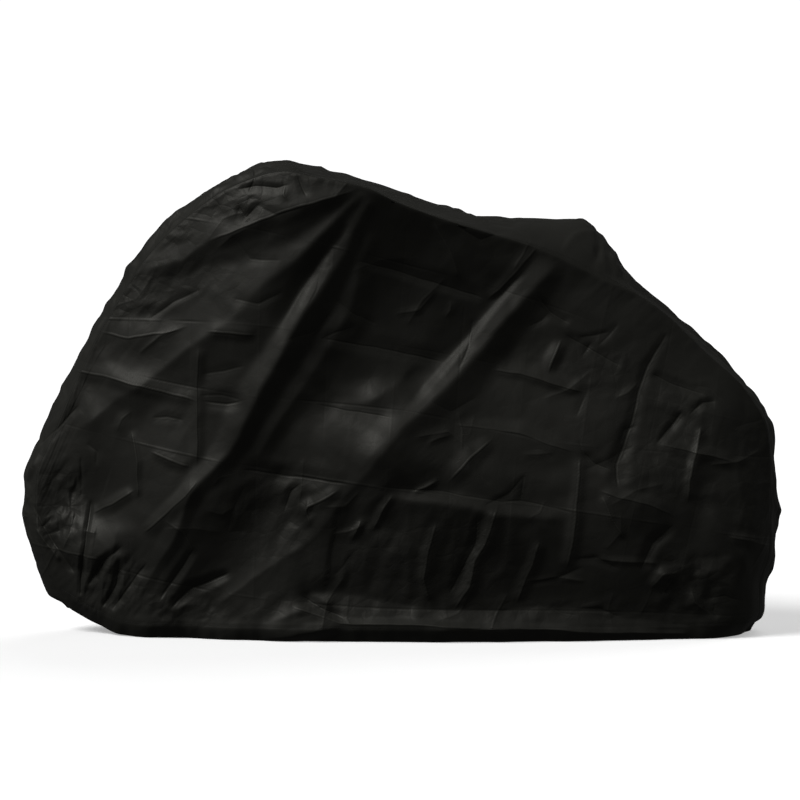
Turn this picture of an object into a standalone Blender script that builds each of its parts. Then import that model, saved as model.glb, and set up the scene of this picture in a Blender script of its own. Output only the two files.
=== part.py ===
"""A fitted bicycle cover: two side panels and the long strip sewn between them over the top.

The bicycle itself is left out, so the cover is a hollow tent of thin cloth, open underneath. The front of
the bicycle points along -X, its left side faces -Y and +Z is up. The origin is the point under the strip,
over the handlebar, where the cover is carried.

The strip runs from the front hem over the handlebar and the saddle down to the rear hem. Each side panel
fills the space between one edge of the strip and the ground, and its hem is part of its own cloth.
"""

import bpy
import numpy as np

# Sizes in metres and counts.
CLOTH = 0.002  # thickness of the sheet
SEAM_GAP = 0.0008  # between the edges of two pieces
PANEL_COLUMNS = 46  # cells of a side panel along the cover
PANEL_ROWS = 18  # cells of a side panel from hem to seam
STRIP_CELLS = 6  # cells across the strip
ROW_CROWDING = 1.25  # above 1 the rows stand closer together towards the hem
CARRIED_AT = -0.286  # x of the handlebar, measured from the middle of the cover
SADDLE_FROM, SADDLE_TO = 0.15, 0.75  # x between which the strip lies flatter across, over the saddle
SADDLE_EASE = 0.2  # length over which it turns flatter
CROWN_POWER = 1.8  # of the strip's cross-section over the handlebar
SADDLE_POWER = 2.6  # of its cross-section over the saddle
END_FADE = 0.05  # share of a side panel's columns over which folds fade out at its front and rear seams
TOP_FADE = 0.06  # share of its height over which they fade out at the seam above
BLACK_CLOTH = (0.013, 0.013, 0.012, 1.0)
DULL_SHEEN = 0.5  # roughness

# The strip, from the front hem over the top to the rear hem. Its crown runs along the middle plane and its
# seams at half_width to either side. x is measured from the middle of the cover, z from the ground.
STRIP_COLUMNS = ("crown_x", "crown_z", "seam_x", "seam_z", "half_width")
STRIP = (
    (-0.845, 0.060, -0.805, 0.060, 0.055),
    (-0.882, 0.133, -0.840, 0.128, 0.060),
    (-0.908, 0.215, -0.868, 0.210, 0.065),
    (-0.918, 0.300, -0.880, 0.296, 0.070),
    (-0.912, 0.384, -0.876, 0.376, 0.075),
    (-0.875, 0.478, -0.842, 0.464, 0.085),
    (-0.782, 0.678, -0.755, 0.662, 0.110),
    (-0.699, 0.820, -0.675, 0.800, 0.135),
    (-0.631, 0.923, -0.608, 0.902, 0.160),
    (-0.531, 1.024, -0.508, 0.999, 0.200),
    (-0.402, 1.112, -0.382, 1.079, 0.245),
    (-0.286, 1.149, -0.271, 1.108, 0.280),
    (-0.195, 1.134, -0.186, 1.092, 0.297),
    (-0.085, 1.103, -0.086, 1.072, 0.300),
    (0.000, 1.073, 0.000, 1.034, 0.280),
    (0.098, 1.038, 0.094, 1.001, 0.255),
    (0.203, 1.010, 0.196, 0.971, 0.225),
    (0.318, 1.009, 0.308, 0.938, 0.195),
    (0.434, 1.006, 0.408, 0.897, 0.175),
    (0.474, 0.986, 0.457, 0.872, 0.165),
    (0.516, 0.923, 0.505, 0.850, 0.160),
    (0.567, 0.863, 0.552, 0.830, 0.155),
    (0.639, 0.798, 0.621, 0.786, 0.150),
    (0.752, 0.695, 0.730, 0.685, 0.140),
    (0.852, 0.602, 0.827, 0.594, 0.130),
    (0.914, 0.489, 0.884, 0.484, 0.120),
    (0.921, 0.390, 0.890, 0.388, 0.115),
    (0.924, 0.286, 0.892, 0.290, 0.110),
    (0.921, 0.195, 0.889, 0.202, 0.105),
    (0.897, 0.110, 0.867, 0.118, 0.100),
    (0.895, 0.055, 0.868, 0.060, 0.095),
    (0.873, 0.006, 0.848, 0.010, 0.088),
)
FRONT_CORNER = 4  # row of STRIP where a side panel's front edge becomes its top edge
REAR_CORNER = 27  # row of STRIP where its top edge becomes its rear edge

# The hem of the left panel. column is a share of the panel's columns of cloth, and top is how far along the
# panel's top edge that column hangs from. The columns lean as the folds do, from the handlebar and the saddle
# down to the front wheel.
HEM_COLUMNS = ("column", "top", "x", "z", "half_width")
HEM = (
    (0.00, 0.000, -0.805, 0.060, 0.055),
    (0.11, 0.140, -0.768, 0.038, 0.070),
    (0.22, 0.280, -0.725, 0.020, 0.085),
    (0.33, 0.400, -0.675, 0.003, 0.115),
    (0.43, 0.505, -0.600, 0.000, 0.152),
    (0.54, 0.610, -0.520, 0.000, 0.162),
    (0.65, 0.707, -0.400, 0.000, 0.200),
    (0.74, 0.770, -0.200, 0.000, 0.228),
    (0.81, 0.825, 0.050, 0.000, 0.242),
    (0.88, 0.880, 0.350, 0.000, 0.238),
    (0.93, 0.925, 0.580, 0.000, 0.224),
    (0.96, 0.960, 0.730, 0.000, 0.198),
    (0.985, 0.985, 0.812, 0.002, 0.142),
    (1.00, 1.000, 0.848, 0.010, 0.088),
)

# What pushes the cloth out or lets it sink, as soft mounds of the given reach. push is outwards.
PUSH_COLUMNS = ("x", "z", "reach_x", "reach_z", "push")
PUSHES = (
    (-0.560, 0.330, 0.170, 0.180, 0.030),  # front hub and fork
    (0.060, 0.300, 0.200, 0.160, 0.034),  # crank and pedal
    (0.560, 0.330, 0.190, 0.200, 0.028),  # rear hub and gears
    (-0.230, 0.780, 0.150, 0.150, -0.018),  # slack below the grip
    (0.130, 0.740, 0.150, 0.160, -0.026),  # slack between the grip and the saddle
    (0.250, 0.300, 0.240, 0.130, -0.016),  # slack behind the crank
)

# Folds as ridges (height above 0) and troughs (below 0). Each runs from its start to its end, bows sideways
# by bow, and widens and swells evenly from its start to its end. ease_left and ease_right stretch its two
# flanks, as seen looking along it.
FOLD_COLUMNS = (
    "start_x", "start_z", "end_x", "end_z", "bow", "start_width", "end_width",
    "start_height", "end_height", "ease_left", "ease_right",
)
LEFT_FOLDS = (
    (-0.087, 1.074, -0.620, 0.870, -0.010, 0.030, 0.052, 0.012, 0.020, 0.8, 1.5),  # over the handlebar
    (-0.120, 1.020, -0.590, 0.815, -0.012, 0.032, 0.048, -0.012, -0.018, 1.0, 1.0),
    (-0.085, 1.065, -0.760, 0.520, -0.030, 0.030, 0.075, 0.014, 0.030, 1.0, 1.3),  # grip to front rim
    (-0.165, 0.927, -0.560, 0.500, -0.010, 0.035, 0.050, -0.010, -0.016, 1.0, 1.0),
    (-0.075, 1.066, -0.606, 0.258, -0.015, 0.030, 0.048, 0.020, 0.026, 0.9, 1.2),  # grip to front hub
    (-0.070, 1.020, -0.620, 0.078, -0.030, 0.028, 0.042, -0.014, -0.032, 1.0, 1.0),
    (-0.092, 0.943, -0.330, 0.400, -0.006, 0.026, 0.042, 0.012, 0.014, 1.0, 1.2),  # shorter third fold
    (0.369, 0.908, -0.373, 0.108, 0.000, 0.026, 0.055, 0.018, 0.040, 1.6, 1.0),  # saddle to front hem
    (0.150, 0.540, -0.354, 0.054, 0.020, 0.042, 0.055, -0.018, -0.030, 1.4, 1.0),
    (-0.111, 0.899, 0.199, 0.816, 0.004, 0.030, 0.030, 0.005, 0.006, 1.0, 1.4),  # creases from packing
    (-0.201, 0.717, 0.107, 0.660, -0.004, 0.032, 0.036, 0.006, 0.005, 1.0, 1.4),
    (-0.678, 0.613, -0.420, 0.560, 0.004, 0.030, 0.034, 0.005, 0.007, 1.0, 1.4),
    (-0.206, 0.568, 0.050, 0.532, 0.000, 0.032, 0.036, 0.007, 0.006, 1.0, 1.4),
    (0.126, 0.523, 0.440, 0.456, 0.006, 0.034, 0.036, 0.007, 0.009, 1.0, 1.4),
    (0.220, 0.646, 0.450, 0.592, -0.004, 0.032, 0.038, 0.006, 0.008, 1.0, 1.4),
    (-0.060, 0.362, 0.420, 0.300, 0.010, 0.036, 0.038, 0.008, 0.010, 1.0, 1.4),
    (0.460, 0.300, 0.690, 0.250, 0.004, 0.034, 0.036, 0.006, 0.005, 1.0, 1.4),
    (0.214, 0.250, 0.120, 0.070, 0.010, 0.028, 0.030, 0.006, 0.008, 1.0, 1.0),  # upright ones near the hem
    (0.325, 0.240, 0.280, 0.100, 0.000, 0.028, 0.030, 0.005, 0.007, 1.0, 1.0),
    (0.408, 0.435, 0.392, 0.160, 0.008, 0.030, 0.032, 0.006, 0.006, 1.0, 1.0),
    (-0.236, 0.095, 0.472, 0.060, 0.000, 0.045, 0.040, 0.022, 0.014, 1.0, 1.0),  # flare above the hem
    (-0.731, 0.307, -0.751, 0.108, 0.000, 0.024, 0.022, -0.014, -0.010, 1.0, 1.0),  # tuck at the front wheel
    (0.635, 0.736, 0.517, 0.361, -0.020, 0.030, 0.030, 0.010, 0.012, 1.0, 1.0),  # behind the saddle
    (0.712, 0.494, 0.672, 0.315, 0.006, 0.030, 0.032, 0.008, 0.008, 1.0, 1.0),
    (0.700, 0.280, 0.830, 0.110, 0.010, 0.040, 0.040, 0.014, 0.012, 1.0, 1.0),  # rear corner
)
RIGHT_FOLDS = (
    (-0.090, 1.070, -0.630, 0.850, -0.012, 0.030, 0.055, 0.012, 0.022, 0.8, 1.4),
    (-0.110, 1.015, -0.600, 0.770, -0.016, 0.032, 0.050, -0.012, -0.018, 1.0, 1.0),
    (-0.086, 1.060, -0.740, 0.430, -0.022, 0.030, 0.070, 0.016, 0.030, 1.0, 1.2),
    (-0.080, 1.058, -0.520, 0.180, -0.020, 0.030, 0.050, 0.020, 0.028, 0.9, 1.1),
    (-0.070, 1.020, -0.500, 0.060, -0.034, 0.028, 0.046, -0.014, -0.028, 1.0, 0.9),
    (-0.060, 0.930, -0.200, 0.360, -0.010, 0.028, 0.045, 0.012, 0.016, 1.0, 1.2),
    (0.372, 0.905, -0.180, 0.120, 0.012, 0.028, 0.060, 0.018, 0.036, 1.5, 1.0),
    (0.240, 0.560, -0.150, 0.050, 0.020, 0.040, 0.055, -0.018, -0.028, 1.3, 1.0),
    (-0.340, 0.640, -0.060, 0.700, 0.006, 0.030, 0.034, 0.006, 0.006, 1.0, 1.4),
    (-0.660, 0.560, -0.420, 0.600, 0.004, 0.030, 0.032, 0.006, 0.007, 1.0, 1.4),
    (0.060, 0.600, 0.420, 0.560, 0.008, 0.034, 0.036, 0.007, 0.008, 1.0, 1.4),
    (-0.020, 0.360, 0.380, 0.330, -0.008, 0.036, 0.036, 0.008, 0.009, 1.0, 1.4),
    (0.420, 0.420, 0.740, 0.360, 0.006, 0.034, 0.036, 0.007, 0.006, 1.0, 1.4),
    (0.300, 0.240, 0.250, 0.080, 0.006, 0.028, 0.030, 0.006, 0.007, 1.0, 1.0),
    (-0.100, 0.090, 0.560, 0.070, 0.000, 0.045, 0.040, 0.020, 0.016, 1.0, 1.0),
    (-0.700, 0.300, -0.735, 0.100, 0.000, 0.024, 0.022, -0.014, -0.010, 1.0, 1.0),
    (0.560, 0.780, 0.500, 0.300, 0.015, 0.030, 0.036, 0.012, 0.014, 1.0, 1.0),
    (0.720, 0.330, 0.820, 0.120, -0.010, 0.040, 0.040, 0.012, 0.014, 1.0, 1.0),
)
FADE = 0.12  # share of a fold's length over which it starts and ends
SWING = 0.012  # how far the right seam swings up and down against the left one


def named(rows, names):
    """The table's columns as arrays, by name."""
    return dict(zip(names, np.array(rows, float).T))


def through(knots, values, at):
    """A smooth curve through values (rows by columns) at the knots, with no overshoot: cubic pieces whose
    slope at each knot is the harmonic mean of the slopes to either side, or level at a high or low point."""
    step = np.diff(knots)[:, None]
    slope = np.diff(values, axis=0) / step
    before, after = slope[:-1], slope[1:]
    agree = before * after > 0
    total = np.where(agree, before + after, 1.0)
    middle = np.where(agree, 2 * before * after / total, 0.0)
    tangent = np.concatenate([slope[:1], middle, slope[-1:]])
    i = np.clip(np.searchsorted(knots, at, side="right") - 1, 0, len(knots) - 2)
    h = step[i]
    t = (at[:, None] - knots[i][:, None]) / h
    return (
        (1 + 2 * t) * (1 - t) ** 2 * values[i]
        + t * (1 - t) ** 2 * h * tangent[i]
        + t**2 * (3 - 2 * t) * values[i + 1]
        + t**2 * (t - 1) * h * tangent[i + 1]
    )


def smoothstep(t):
    """0 below 0, 1 above 1 and a smooth rise between."""
    t = np.clip(t, 0.0, 1.0)
    return t * t * (3 - 2 * t)


def strip_lines(side):
    """The crown and one seam of the strip as rows of points, sampled where the side panel's edges are: up the
    front edge, along the top edge and down the rear edge. side is -1 for the left seam, 1 for the right."""
    station = named(STRIP, STRIP_COLUMNS)
    crown_step = np.hypot(np.diff(station["crown_x"]), np.diff(station["crown_z"]))
    knots = np.concatenate([[0.0], np.cumsum(crown_step)])
    rows = row_places()
    front = knots[FRONT_CORNER] * rows
    hem = named(HEM, HEM_COLUMNS)
    top_share = through(hem["column"], hem["top"][:, None], column_places())[:, 0]
    top = knots[FRONT_CORNER] + (knots[REAR_CORNER] - knots[FRONT_CORNER]) * top_share
    rear = knots[-1] - (knots[-1] - knots[REAR_CORNER]) * rows[::-1]
    along = np.concatenate([front, top[1:-1], rear])
    values = np.array(STRIP, float)
    crown_x, crown_z, seam_x, seam_z, half_width = through(knots, values, along).T
    length = knots[-1]
    if side > 0:
        swing = SWING * np.sin(np.pi * along / length) * np.sin(7 * np.pi * along / length)
        seam_z = seam_z + swing
        half_width = half_width - 0.5 * swing
    crown = np.stack([crown_x, 0 * crown_x, crown_z], axis=1)
    seam = np.stack([seam_x, side * half_width, seam_z], axis=1)
    return crown, seam


def column_places():
    """Where the columns of a side panel stand, from 0 at the front to 1 at the rear."""
    return np.linspace(0.0, 1.0, PANEL_COLUMNS + 1)


def row_places():
    """Where the rows of a side panel stand, from 0 at the hem to 1 at the seam."""
    return np.linspace(0.0, 1.0, PANEL_ROWS + 1) ** ROW_CROWDING


def pushed_out(x, z):
    """How far the parts inside push the cloth out at x, z."""
    push = named(PUSHES, PUSH_COLUMNS)
    away_x = (x[..., None] - push["x"]) / push["reach_x"]
    away_z = (z[..., None] - push["z"]) / push["reach_z"]
    return (push["push"] * np.exp(-(away_x**2) - away_z**2)).sum(axis=-1)


def folded_out(x, z, folds):
    """How far the folds lift the cloth at x, z. A point's place along a fold is its projection on the fold's
    chord, and its distance from the fold is measured across the chord from the bowed line."""
    fold = named(folds, FOLD_COLUMNS)
    chord_x = fold["end_x"] - fold["start_x"]
    chord_z = fold["end_z"] - fold["start_z"]
    length = np.hypot(chord_x, chord_z)
    from_x = x[..., None] - fold["start_x"]
    from_z = z[..., None] - fold["start_z"]
    share = (from_x * chord_x + from_z * chord_z) / length**2
    inside = np.clip(share, 0.0, 1.0)
    across = (from_z * chord_x - from_x * chord_z) / length - 4 * fold["bow"] * inside * (1 - inside)
    width = fold["start_width"] + (fold["end_width"] - fold["start_width"]) * inside
    height = fold["start_height"] + (fold["end_height"] - fold["start_height"]) * inside
    width = width * np.where(across > 0, fold["ease_left"], fold["ease_right"])
    ends = smoothstep(share / FADE) * smoothstep((1 - share) / FADE)
    return (height * ends * np.exp(-((across / width) ** 2))).sum(axis=-1)


def side_panel(side, folds):
    """The outer face of a side panel as a grid of points, columns by rows. The grid is blended from the four
    edges: hem, seam above, front and rear. The folds and what lies inside then push it out sideways, fading
    to nothing at the seams."""
    _, seam = strip_lines(side)
    v = row_places()[None, :, None]
    u = column_places()[:, None, None]
    front = seam[: PANEL_ROWS + 1][None, :, :]
    top = seam[PANEL_ROWS : PANEL_ROWS + PANEL_COLUMNS + 1][:, None, :]
    rear = seam[PANEL_ROWS + PANEL_COLUMNS :][::-1][None, :, :]
    hem = named(HEM, HEM_COLUMNS)
    values = np.stack([hem["x"], side * hem["half_width"], hem["z"]], axis=1)
    bottom = through(hem["column"], values, column_places())[:, None, :]
    bottom[0, 0], bottom[-1, 0] = front[0, 0], rear[0, 0]
    corners = (
        (1 - u) * (1 - v) * bottom[:1]
        + u * (1 - v) * bottom[-1:]
        + (1 - u) * v * top[:1]
        + u * v * top[-1:]
    )
    grid = (1 - v) * bottom + v * top + (1 - u) * front + u * rear - corners
    x, z = grid[..., 0], grid[..., 2]
    from_ends = smoothstep(u[..., 0] / END_FADE) * smoothstep((1 - u[..., 0]) / END_FADE)
    from_top = smoothstep((1 - v[..., 0]) / TOP_FADE)
    lift = (pushed_out(x, z) + folded_out(x, z, folds)) * from_ends * from_top
    grid[..., 1] += side * lift
    return grid


def top_strip(crown, left_seam, right_seam):
    """The outer face of the strip as a grid, stations by places across. A section is a crowned line: it rises
    from the seams to the crown as 1 - |t| to a power, flatter over the saddle than over the handlebar."""
    t = np.linspace(-1.0, 1.0, STRIP_CELLS + 1)[None, :, None]
    seam = np.where(t < 0, left_seam[:, None], right_seam[:, None])
    behind_start = smoothstep((crown[:, 0] - SADDLE_FROM) / SADDLE_EASE)
    before_end = smoothstep((SADDLE_TO - crown[:, 0]) / SADDLE_EASE)
    power = CROWN_POWER + (SADDLE_POWER - CROWN_POWER) * behind_start * before_end
    rise = 1 - np.abs(t) ** power[:, None, None]
    grid = seam * [1, 0, 1] + (crown[:, None] - seam * [1, 0, 1]) * rise
    width_left, width_right = -left_seam[:, None, 1:2], right_seam[:, None, 1:2]
    grid[..., 1:2] = t * np.where(t < 0, width_left, width_right)
    return grid


def normals(grid):
    """Unit normals of a grid of points, from the differences along its two directions."""
    along = np.gradient(grid, axis=0)
    across = np.gradient(grid, axis=1)
    normal = np.cross(along, across)
    return normal / np.linalg.norm(normal, axis=-1, keepdims=True)


def panel_border(array):
    """The entries of a panel's grid along its front, top and rear edges, in the order of the strip's
    stations."""
    return np.concatenate([array[0, :], array[1:-1, -1], array[-1, ::-1]])


def set_panel_border(array, values):
    """Writes values, in the order of the strip's stations, along a panel's front, top and rear edges."""
    array[0, :] = values[: PANEL_ROWS + 1]
    array[1:-1, -1] = values[PANEL_ROWS + 1 : PANEL_ROWS + PANEL_COLUMNS]
    array[-1, ::-1] = values[PANEL_ROWS + PANEL_COLUMNS :]


def drawn_back(edge, inward):
    """The edge's points moved half the seam's gap towards the points inward of them."""
    step = inward - edge
    return edge + step / np.linalg.norm(step, axis=-1, keepdims=True) * SEAM_GAP / 2


def trimmed_panel(grid):
    """The panel's grid with its front, top and rear edges half the seam's gap back from the seam."""
    inward = np.empty_like(grid)
    inward[0, :], inward[-1, :] = grid[1, :], grid[-2, :]
    inward[:, -1] = grid[:, -2]
    inward[0, -1], inward[-1, -1] = grid[1, -2], grid[-2, -2]
    trimmed = grid.copy()
    set_panel_border(trimmed, drawn_back(panel_border(grid), panel_border(inward)))
    return trimmed


def trimmed_strip(grid):
    """The strip's grid with both its edges half the seam's gap back from the seams."""
    trimmed = grid.copy()
    trimmed[:, 0] = drawn_back(grid[:, 0], grid[:, 1])
    trimmed[:, -1] = drawn_back(grid[:, -1], grid[:, -2])
    return trimmed


def black_cloth(piece):
    """Thin coated black cloth with a dull sheen, as a material of its own for the named piece."""
    material = bpy.data.materials.new("black_cloth_of_" + piece)
    material.use_nodes = True
    shader = material.node_tree.nodes["Principled BSDF"]
    shader.inputs["Base Color"].default_value = BLACK_CLOTH
    shader.inputs["Roughness"].default_value = DULL_SHEEN
    shader.inputs["Metallic"].default_value = 0.0
    return material


def solid_sheet(name, outer, inner):
    """An object of black cloth whose mesh is the closed space between two grids of the same size, with the
    outer face on the side of along times across. Each cell is cut along the same diagonal on both faces, and
    a wall of triangles closes the rim."""
    stations, places = outer.shape[:2]
    index = np.arange(stations * places).reshape(stations, places)
    a, b = index[:-1, :-1].ravel(), index[1:, :-1].ravel()
    c, d = index[1:, 1:].ravel(), index[:-1, 1:].ravel()
    face = np.concatenate([np.stack([a, b, c], axis=1), np.stack([a, c, d], axis=1)])
    rim = np.concatenate([index[:, 0], index[-1, 1:], index[-2::-1, -1], index[0, -2:0:-1]])
    after = np.roll(rim, -1)
    below = stations * places
    wall = np.concatenate(
        [
            np.stack([rim, rim + below, after], axis=1),
            np.stack([after, rim + below, after + below], axis=1),
        ]
    )
    triangles = np.concatenate([face, face[:, ::-1] + below, wall])
    points = np.concatenate([outer.reshape(-1, 3), inner.reshape(-1, 3)])
    mesh = bpy.data.meshes.new(name)
    mesh.from_pydata(points.tolist(), [], triangles.tolist())
    mesh.shade_smooth()
    mesh.materials.append(black_cloth(name))
    obj = bpy.data.objects.new(name, mesh)
    bpy.context.scene.collection.objects.link(obj)
    return obj


def main():
    for old in list(bpy.data.objects):
        bpy.data.objects.remove(old)

    crown, left_seam = strip_lines(-1)
    _, right_seam = strip_lines(1)
    strip = top_strip(crown, left_seam, right_seam)
    left = side_panel(-1, LEFT_FOLDS)
    right = side_panel(1, RIGHT_FOLDS)

    # Along times across points out of the cover on the strip and left panel, and into it on the right one.
    strip_normal = normals(strip)
    left_normal = normals(left)
    right_normal = -normals(right)

    # At a seam both pieces take the same normal, so their rims face each other squarely across the gap.
    for panel_normal, place in ((left_normal, 0), (right_normal, -1)):
        shared = panel_border(panel_normal) + strip_normal[:, place]
        shared /= np.linalg.norm(shared, axis=-1, keepdims=True)
        set_panel_border(panel_normal, shared)
        strip_normal[:, place] = shared

    under_crown = (strip - CLOTH * strip_normal)[PANEL_ROWS : PANEL_ROWS + PANEL_COLUMNS, STRIP_CELLS // 2]
    carried = np.array([CARRIED_AT, 0.0, np.interp(CARRIED_AT, under_crown[:, 0], under_crown[:, 2])])
    strip = trimmed_strip(strip) - carried
    left = trimmed_panel(left) - carried
    right = trimmed_panel(right) - carried
    solid_sheet("top_strip", strip, strip - CLOTH * strip_normal)
    solid_sheet("left_panel", left, left - CLOTH * left_normal)
    solid_sheet("right_panel", right[::-1], (right - CLOTH * right_normal)[::-1])


main()
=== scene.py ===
"""A fitted bicycle cover of thin black coated cloth, with its creases, seams, hems and stitches.

Each piece is a surface worked out with numpy. A side panel is blended from its four edges and lifted
outwards by what lies inside the cover, by long folds, by the sharp creases left from packing and by small
crumples. The strip over the top is a run of crowned cross-sections. Lengths are metres unless a name or a
comment says mm.
"""

import math

import bpy
import numpy as np
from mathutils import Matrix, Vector


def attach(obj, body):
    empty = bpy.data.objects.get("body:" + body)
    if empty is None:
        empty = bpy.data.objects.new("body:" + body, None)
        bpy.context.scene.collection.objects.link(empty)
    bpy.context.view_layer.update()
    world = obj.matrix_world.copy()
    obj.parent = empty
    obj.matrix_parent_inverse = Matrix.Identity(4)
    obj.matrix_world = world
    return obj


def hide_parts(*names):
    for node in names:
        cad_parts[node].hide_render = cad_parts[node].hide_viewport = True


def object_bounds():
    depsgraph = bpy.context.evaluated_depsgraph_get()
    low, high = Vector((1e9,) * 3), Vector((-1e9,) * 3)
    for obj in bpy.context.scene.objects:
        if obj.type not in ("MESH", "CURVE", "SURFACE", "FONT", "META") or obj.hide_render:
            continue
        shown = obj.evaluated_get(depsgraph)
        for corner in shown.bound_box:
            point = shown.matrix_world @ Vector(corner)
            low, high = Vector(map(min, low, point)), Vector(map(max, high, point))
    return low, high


bl_info = {
    "name": "Bicycle Cover",
    "version": (1, 0, 0),
    "blender": (4, 5, 0),
    "location": "3D View > Sidebar > Cover",
    "description": "Builds a fitted bicycle cover with folds, creases, seams and stitched hems",
    "category": "Add Mesh",
}

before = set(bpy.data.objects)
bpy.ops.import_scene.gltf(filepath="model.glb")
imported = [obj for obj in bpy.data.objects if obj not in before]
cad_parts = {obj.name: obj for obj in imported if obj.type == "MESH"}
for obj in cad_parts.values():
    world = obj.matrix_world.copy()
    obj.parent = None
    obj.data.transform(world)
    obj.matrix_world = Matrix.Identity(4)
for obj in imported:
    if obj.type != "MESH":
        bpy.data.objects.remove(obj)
CAD_LOW, CAD_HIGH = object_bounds()
GROUND = CAD_LOW.z  # height of the ground, which the hem rests on
CARRIED_AT = -0.286  # the origin's x, measured from the middle of the cover
MM = 1000  # to the metre

# The strip, from the front hem over the top to the rear hem: x and z of its crown, which runs along the
# middle plane, x and z of its seams, and how far they are to either side. x is measured from the middle of
# the cover, z from the ground.
STRIP = (
    (-0.845, 0.060, -0.805, 0.060, 0.055),
    (-0.882, 0.133, -0.840, 0.128, 0.060),
    (-0.908, 0.215, -0.868, 0.210, 0.065),
    (-0.918, 0.300, -0.880, 0.296, 0.070),
    (-0.912, 0.384, -0.876, 0.376, 0.075),
    (-0.875, 0.478, -0.842, 0.464, 0.085),
    (-0.782, 0.678, -0.755, 0.662, 0.110),
    (-0.699, 0.820, -0.675, 0.800, 0.135),
    (-0.631, 0.923, -0.608, 0.902, 0.160),
    (-0.531, 1.024, -0.508, 0.999, 0.200),
    (-0.402, 1.112, -0.382, 1.079, 0.245),
    (-0.286, 1.149, -0.271, 1.108, 0.280),
    (-0.195, 1.134, -0.186, 1.092, 0.297),
    (-0.085, 1.103, -0.086, 1.072, 0.300),
    (0.000, 1.073, 0.000, 1.034, 0.280),
    (0.098, 1.038, 0.094, 1.001, 0.255),
    (0.203, 1.010, 0.196, 0.971, 0.225),
    (0.318, 1.009, 0.308, 0.938, 0.195),
    (0.434, 1.006, 0.408, 0.897, 0.175),
    (0.474, 0.986, 0.457, 0.872, 0.165),
    (0.516, 0.923, 0.505, 0.850, 0.160),
    (0.567, 0.863, 0.552, 0.830, 0.155),
    (0.639, 0.798, 0.621, 0.786, 0.150),
    (0.752, 0.695, 0.730, 0.685, 0.140),
    (0.852, 0.602, 0.827, 0.594, 0.130),
    (0.914, 0.489, 0.884, 0.484, 0.120),
    (0.921, 0.390, 0.890, 0.388, 0.115),
    (0.924, 0.286, 0.892, 0.290, 0.110),
    (0.921, 0.195, 0.889, 0.202, 0.105),
    (0.897, 0.110, 0.867, 0.118, 0.100),
    (0.895, 0.055, 0.868, 0.060, 0.095),
    (0.873, 0.006, 0.848, 0.010, 0.088),
)
FRONT_CORNER = 4  # row of STRIP where a side panel's front edge becomes its top edge
REAR_CORNER = 27  # row of STRIP where its top edge becomes its rear edge

# The hem of a side panel. column is a share of the panel's columns of cloth, and top is how far along the
# panel's top edge that column hangs from.
HEM_COLUMNS = ("column", "top", "x", "z", "half_width")
HEM = (
    (0.00, 0.000, -0.805, 0.060, 0.055),
    (0.11, 0.140, -0.768, 0.038, 0.070),
    (0.22, 0.280, -0.725, 0.020, 0.085),
    (0.33, 0.400, -0.675, 0.003, 0.115),
    (0.43, 0.505, -0.600, 0.000, 0.152),
    (0.54, 0.610, -0.520, 0.000, 0.162),
    (0.65, 0.707, -0.400, 0.000, 0.200),
    (0.74, 0.770, -0.200, 0.000, 0.228),
    (0.81, 0.825, 0.050, 0.000, 0.242),
    (0.88, 0.880, 0.350, 0.000, 0.238),
    (0.93, 0.925, 0.580, 0.000, 0.224),
    (0.96, 0.960, 0.730, 0.000, 0.198),
    (0.985, 0.985, 0.812, 0.002, 0.142),
    (1.00, 1.000, 0.848, 0.010, 0.088),
)

# What pushes the cloth out or lets it sink, as soft mounds of the given reach. push is outwards.
PUSH_COLUMNS = ("x", "z", "reach_x", "reach_z", "push")
PUSHES = (
    (-0.560, 0.330, 0.170, 0.180, 0.026),  # front hub and fork
    (-0.740, 0.140, 0.120, 0.130, 0.026),  # foot of the front wheel
    (0.060, 0.400, 0.230, 0.250, 0.056),  # crank and pedal
    (0.560, 0.380, 0.210, 0.190, 0.040),  # rear hub and gears
    (-0.020, 0.860, 0.150, 0.180, -0.014),  # slack before the top tube
    (0.640, 0.040, 0.220, 0.090, -0.028),  # slack behind the rear wheel, at the hem
    (0.000, 0.500, 0.900, 0.380, 0.024),  # frame, under both wheels and the crank
    (0.880, 0.420, 0.160, 0.300, 0.020),  # rear edge of the rear wheel
)

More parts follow.
